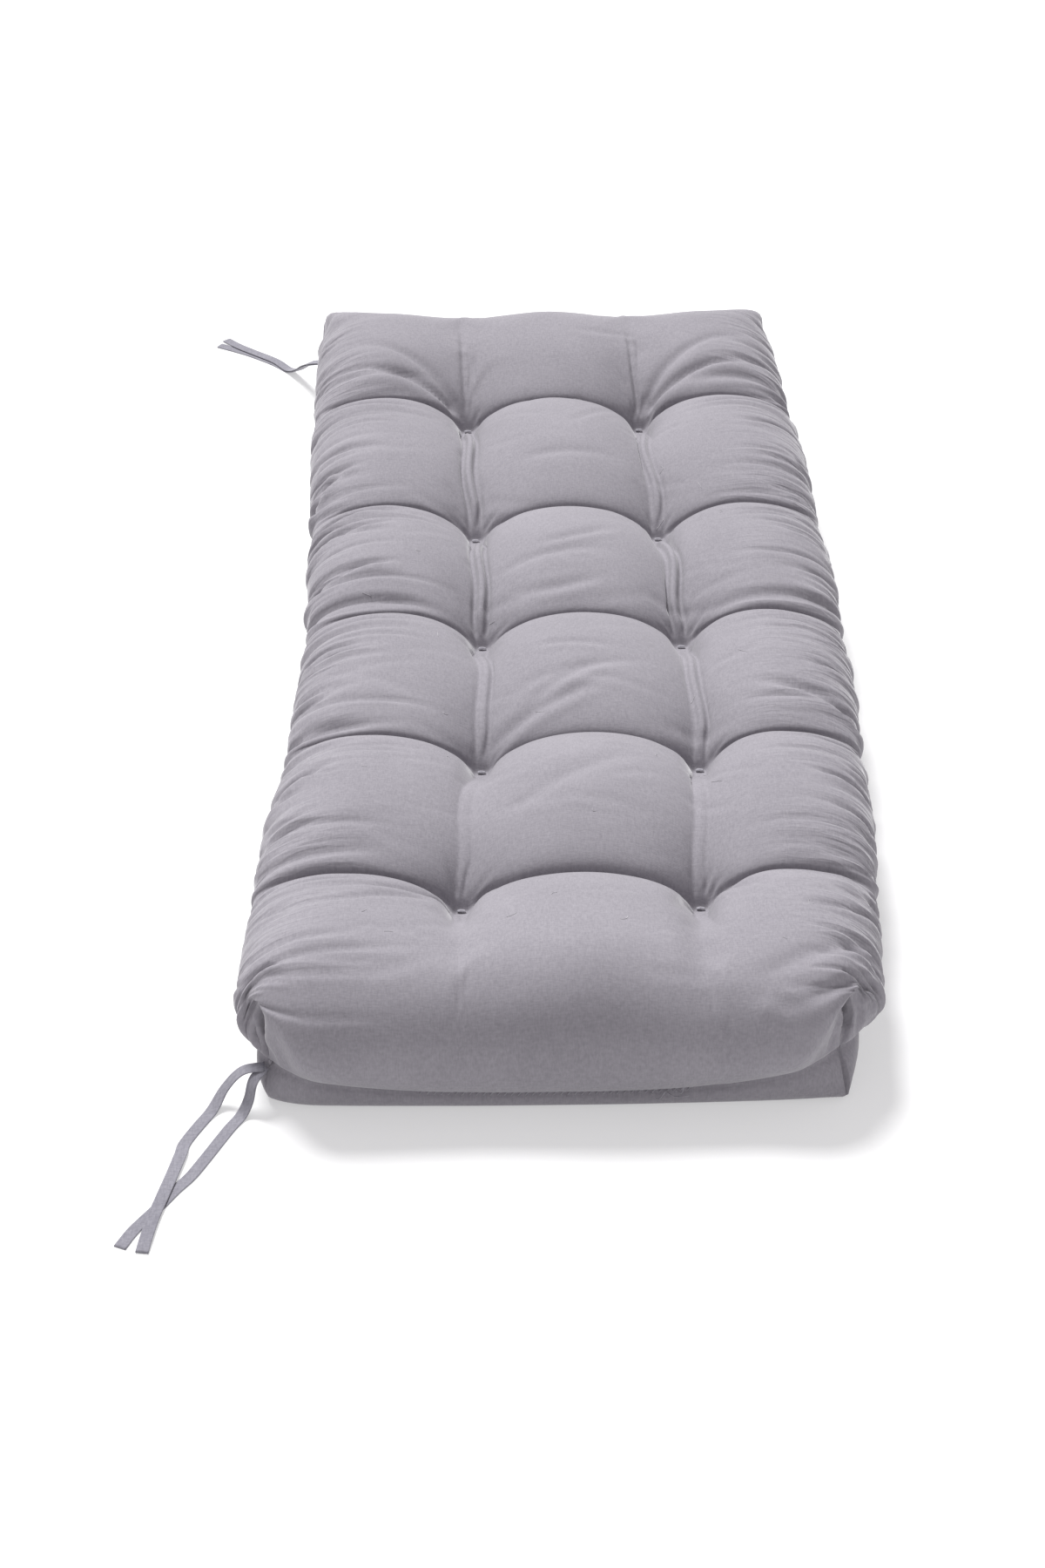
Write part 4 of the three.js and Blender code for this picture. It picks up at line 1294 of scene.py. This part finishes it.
def tape_tail(path):
    """A thin closed strip along path. It lies flat where a place has no direction of the width."""
    directions = []
    for i, row in enumerate(path):
        before, after = path[max(i - 1, 0)][:3], path[min(i + 1, len(path) - 1)][:3]
        heading = np.subtract(after, before)
        right = np.array([heading[1], -heading[0], 0.0])
        across = right / np.linalg.norm(right)
        if len(row) > 3:
            across = np.array([math.cos(math.radians(row[3])), math.sin(math.radians(row[3])), 0])
            across *= 1 if across @ right > 0 else -1
        directions.append(across)
    line, length = spline([list(row[:3]) + list(d) for row, d in zip(path, directions)], TAPE["step"])
    places, widths = line[:, :3], line[:, 3:]
    headings = np.gradient(places, axis=0)
    headings /= np.linalg.norm(headings, axis=1, keepdims=True)
    widths = widths - headings * np.sum(widths * headings, axis=1, keepdims=True)
    widths /= np.linalg.norm(widths, axis=1, keepdims=True)
    ups = np.cross(widths, headings)
    run = np.linspace(0, length, len(places))
    half = TAPE["thickness"] / 2
    vertices, faces = [], []
    for k, (place, width, up) in enumerate(zip(places, widths, ups)):
        hem = smooth(run[k], length - TAPE["hem"] - 1, length - TAPE["hem"])
        for way in (1, -1):
            for s in STATIONS[::way]:
                beside = (abs(s) - STITCHED["at"]) / STITCHED["width"]
                stitched = STITCHED["depth"] * math.exp(-(beside**2))
                thick = half * (1 - 0.5 * max(0, abs(s) - EDGE["from"]) / EDGE["width"])
                thick = thick - stitched + TAPE["hem_rise"] * hem * 0.5
                vertices.append(place + width * s * TAPE["width"] / 2 + up * way * thick)
    ring = 2 * len(STATIONS)
    for i in range(len(places) - 1):
        for k in range(ring):
            a, b = i * ring + k, i * ring + (k + 1) % ring
            faces.append((a, b, b + ring, a + ring))
    faces.append(tuple(range(ring))[::-1])
    faces.append(tuple(range((len(places) - 1) * ring, len(places) * ring)))
    return (vertices, faces), length


def make_tie(name):
    facts = TIES[name]
    seam = top[0 if facts["end"] < 0 else -1, 0]
    diagonal = facts["root"]["out"] / math.sqrt(2)
    root_y = seam[1] + facts["end"] * diagonal
    root = (seam[0] - diagonal, root_y, seam[2] - facts["root"]["below"], facts["end"] * 45)
    tails = [tape_tail((root, *tail)) for tail in facts["tails"]]
    piece = add_object(name + "_tape", mesh_from(name + "_tape", *joined([tail for tail, _ in tails])))
    replaces(piece, [name])
    return piece


ties = [make_tie(name) for name in TIES]
stitches = sew_opening()
fibres = lay_fibres()
print("stitches:", len(stitches.data.polygons), "faces; fibres:", len(fibres.data.polygons), "faces")

# %% [markdown]
# ## Finishes
#
# The cloth is a matt brushed plain weave in lilac grey. Its weave is two sets of fine waves that cross, used
# as bump. Slubs are noise that is stretched along the threads. They are bump too, and with a soft, cloudy
# noise they change the colour a little. The gathers along the long sides are one more bump, because the
# finest of them are narrower than the mesh's faces. Sheen is the pale fuzz that brushed cloth shows at a
# glancing angle. The patterns follow object coordinates, so they need no unwrapping.

# %% Cloth finish
MATT = {"Roughness": 0.92, "Specular IOR Level": 0.18, "Sheen Weight": 0.4, "Sheen Roughness": 0.35}
# How each noise is stretched along the axes, its scale and its detail.
SLUBS = (((1, 4, 1), 230, 3), ((4, 1, 1), 200, 3))
CLOUDS = ((1, 1, 1), 9, 2)
STREAKS = ((11, 85, 11), 1, 3)
PATCHES = ((1, 2.5, 1), 6, 1)
PATCHY = (0.35, 0.62)
# The share of the weave beside the slubs in the bump, and how slubs and clouds are mixed into the colour.
WEAVE_SHARE = 0.1
SHADE = {"slubs": 0.7, "clouds": 0.5, "offset": -0.45, "dark_at": 0.25, "light_at": 0.85}
RELIEF = 0.3
# How far from the middle line the gathers start and are full, where they start at the near end, over what
# length, and how high they are.
GATHERS = {"from": 150, "full": 250, "end": -585, "end_width": 50, "height": 7}


def maths(tree, operation, *values):
    """The result of a Math node. Each value is a number for its socket, or another node's output to link."""
    made = tree.nodes.new("ShaderNodeMath")
    made.operation = operation
    for place, value in enumerate(values):
        if isinstance(value, (int, float)):
            made.inputs[place].default_value = value
        else:
            tree.links.new(value, made.inputs[place])
    return made.outputs[0]


def ramped(tree, value, low, high):
    """0 up to low, 1 from high, and even between them."""
    made = tree.nodes.new("ShaderNodeMapRange")
    made.inputs["From Min"].default_value = low
    made.inputs["From Max"].default_value = high
    tree.links.new(value, made.inputs["Value"])
    return made.outputs["Result"]


def bumped(tree, height, strength, distance):
    made = tree.nodes.new("ShaderNodeBump")
    made.inputs["Strength"].default_value = strength
    made.inputs["Distance"].default_value = distance
    tree.links.new(height, made.inputs["Height"])
    return made


def axes(tree, position):
    made = tree.nodes.new("ShaderNodeSeparateXYZ")
    tree.links.new(position, made.inputs[0])
    return made.outputs


def stretched_noise(tree, position, stretch, scale, detail):
    mapping = tree.nodes.new("ShaderNodeMapping")
    mapping.inputs["Scale"].default_value = stretch
    tree.links.new(position, mapping.inputs["Vector"])
    noise = tree.nodes.new("ShaderNodeTexNoise")
    noise.inputs["Scale"].default_value = scale
    noise.inputs["Detail"].default_value = detail
    tree.links.new(mapping.outputs[0], noise.inputs["Vector"])
    return noise.outputs["Fac"]


def weave_height(tree, position, thread):
    """Over and under of a plain weave, from two sets of waves along the cloth."""
    split = axes(tree, position)
    waves = []
    for axis in ("X", "Y"):
        slanted = maths(tree, "ADD", split[axis], split["Z"])
        waves.append(maths(tree, "SINE", maths(tree, "MULTIPLY", slanted, math.pi / thread)))
    return maths(tree, "MULTIPLY", *waves)


def gathers_relief(tree, position):
    """Fine gathers along the long sides: sharp streaks that run over the side, and none on the crowns."""
    split = axes(tree, position)
    from_middle = maths(tree, "ABSOLUTE", split["X"])
    beside = ramped(tree, from_middle, GATHERS["from"] * MM, GATHERS["full"] * MM)
    past_end = ramped(tree, split["Y"], GATHERS["end"] * MM, (GATHERS["end"] + GATHERS["end_width"]) * MM)
    sides = maths(tree, "MULTIPLY", past_end, beside)
    patchy = ramped(tree, stretched_noise(tree, position, *PATCHES), *PATCHY)
    shape = maths(tree, "MULTIPLY", patchy, sides)
    ridged = maths(tree, "PINGPONG", stretched_noise(tree, position, *STREAKS), 0.5)
    streaked = maths(tree, "MULTIPLY", ridged, shape)
    return bumped(tree, streaked, 1, GATHERS["height"] * MM).outputs["Normal"]


def cloth_material(name, dark, light, thread, bump, gathered=False):
    """A matt woven finish between two colours, from the width of a thread and the strength of the bump."""
    material = bpy.data.materials.new(name)
    material.use_nodes = True
    tree = material.node_tree
    shader = tree.nodes["Principled BSDF"]
    for socket, value in MATT.items():
        shader.inputs[socket].default_value = value

    position = tree.nodes.new("ShaderNodeTexCoord").outputs["Object"]
    slubs = maths(tree, "ADD", *(stretched_noise(tree, position, *facts) for facts in SLUBS))
    clouds = stretched_noise(tree, position, *CLOUDS)
    cloudy = maths(tree, "MULTIPLY_ADD", clouds, SHADE["clouds"], SHADE["offset"])
    shade = maths(tree, "MULTIPLY_ADD", slubs, SHADE["slubs"], cloudy)
    ramp = tree.nodes.new("ShaderNodeValToRGB")
    for end, place, colour in zip(ramp.color_ramp.elements, ("dark_at", "light_at"), (dark, light)):
        end.position = SHADE[place]
        end.color = (*colour, 1)
    tree.links.new(shade, ramp.inputs["Fac"])
    tree.links.new(ramp.outputs["Color"], shader.inputs["Base Color"])

    height = maths(tree, "MULTIPLY_ADD", weave_height(tree, position, thread * MM), WEAVE_SHARE, slubs)
    relief = bumped(tree, height, bump, RELIEF * MM)
    tree.links.new(relief.outputs["Normal"], shader.inputs["Normal"])
    if gathered:
        tree.links.new(gathers_relief(tree, position), relief.inputs["Normal"])
    return material


CLOTH_FINISH = cloth_material("brushed_cloth", (0.23, 0.219, 0.242), (0.314, 0.3, 0.328), 0.9, 0.45, True)
TAPE_FINISH = cloth_material("folded_tape", (0.20, 0.195, 0.225), (0.31, 0.305, 0.34), 0.6, 0.7)
THREAD_FINISH = cloth_material("sewing_thread", (0.32, 0.31, 0.345), (0.44, 0.43, 0.465), 0.35, 0.8)
FIBRE_FINISH = cloth_material("pale_fibre", (0.45, 0.44, 0.46), (0.6, 0.59, 0.61), 0.35, 0.2)


def dress(piece, material):
    piece.data.materials.clear()
    piece.data.materials.append(material)


dress(body_cloth, CLOTH_FINISH)
for tie in ties:
    dress(tie, TAPE_FINISH)
for piece in (*tacks, stitches):
    dress(piece, THREAD_FINISH)
dress(fibres, FIBRE_FINISH)
print("finishes:", [m.name for m in (CLOTH_FINISH, TAPE_FINISH, THREAD_FINISH, FIBRE_FINISH)])

# %% [markdown]
# ## Floor and light
#
# A plain pale floor and soft light keep the folds readable. One wide sun shines from above and beyond the
# far end and skims the tops of the folds, and a pale world fills the shadows. The floor glows a little, so
# that it stays bright.

# %% Floor and light
LAMPS = {
    # name: where the light comes from, how wide the source looks in degrees, strength
    "over_far_end": ((-0.3, 0.62, 1.0), 22, 4.45),
}
FLOOR_HALF = 30
FLOOR = {
    "Base Color": (0.55, 0.55, 0.55, 1),
    "Roughness": 0.9,
    "Emission Color": (1, 1, 1, 1),
    "Emission Strength": 0.42,
}
ROOM = {"Color": (0.99, 0.965, 1, 1), "Strength": 0.54}


def make_lamp(name, place, width, strength):
    data = bpy.data.lights.new(name, "SUN")
    data.angle = math.radians(width)
    data.energy = strength
    lamp = add_object(name, data)
    lamp.location = place
    lamp.rotation_euler = (-lamp.location).to_track_quat("-Z", "Y").to_euler()


def make_floor():
    mesh = bpy.data.meshes.new("floor")
    corners = [(x * FLOOR_HALF, y * FLOOR_HALF, 0) for x, y in ((-1, -1), (1, -1), (1, 1), (-1, 1))]
    mesh.from_pydata(corners, [], [(0, 1, 2, 3)])
    floor = add_object("floor", mesh)
    material = bpy.data.materials.new("pale_floor")
    material.use_nodes = True
    shader = material.node_tree.nodes["Principled BSDF"]
    for socket, value in FLOOR.items():
        shader.inputs[socket].default_value = value
    mesh.materials.append(material)
    return floor


for name, facts in LAMPS.items():
    make_lamp(name, *facts)
make_floor()
world = bpy.data.worlds.new("pale_room")
world.use_nodes = True
for socket, value in ROOM.items():
    world.node_tree.nodes["Background"].inputs[socket].default_value = value
bpy.context.scene.world = world
bpy.context.scene.view_settings.view_transform = "Standard"
print("lamps:", list(LAMPS))
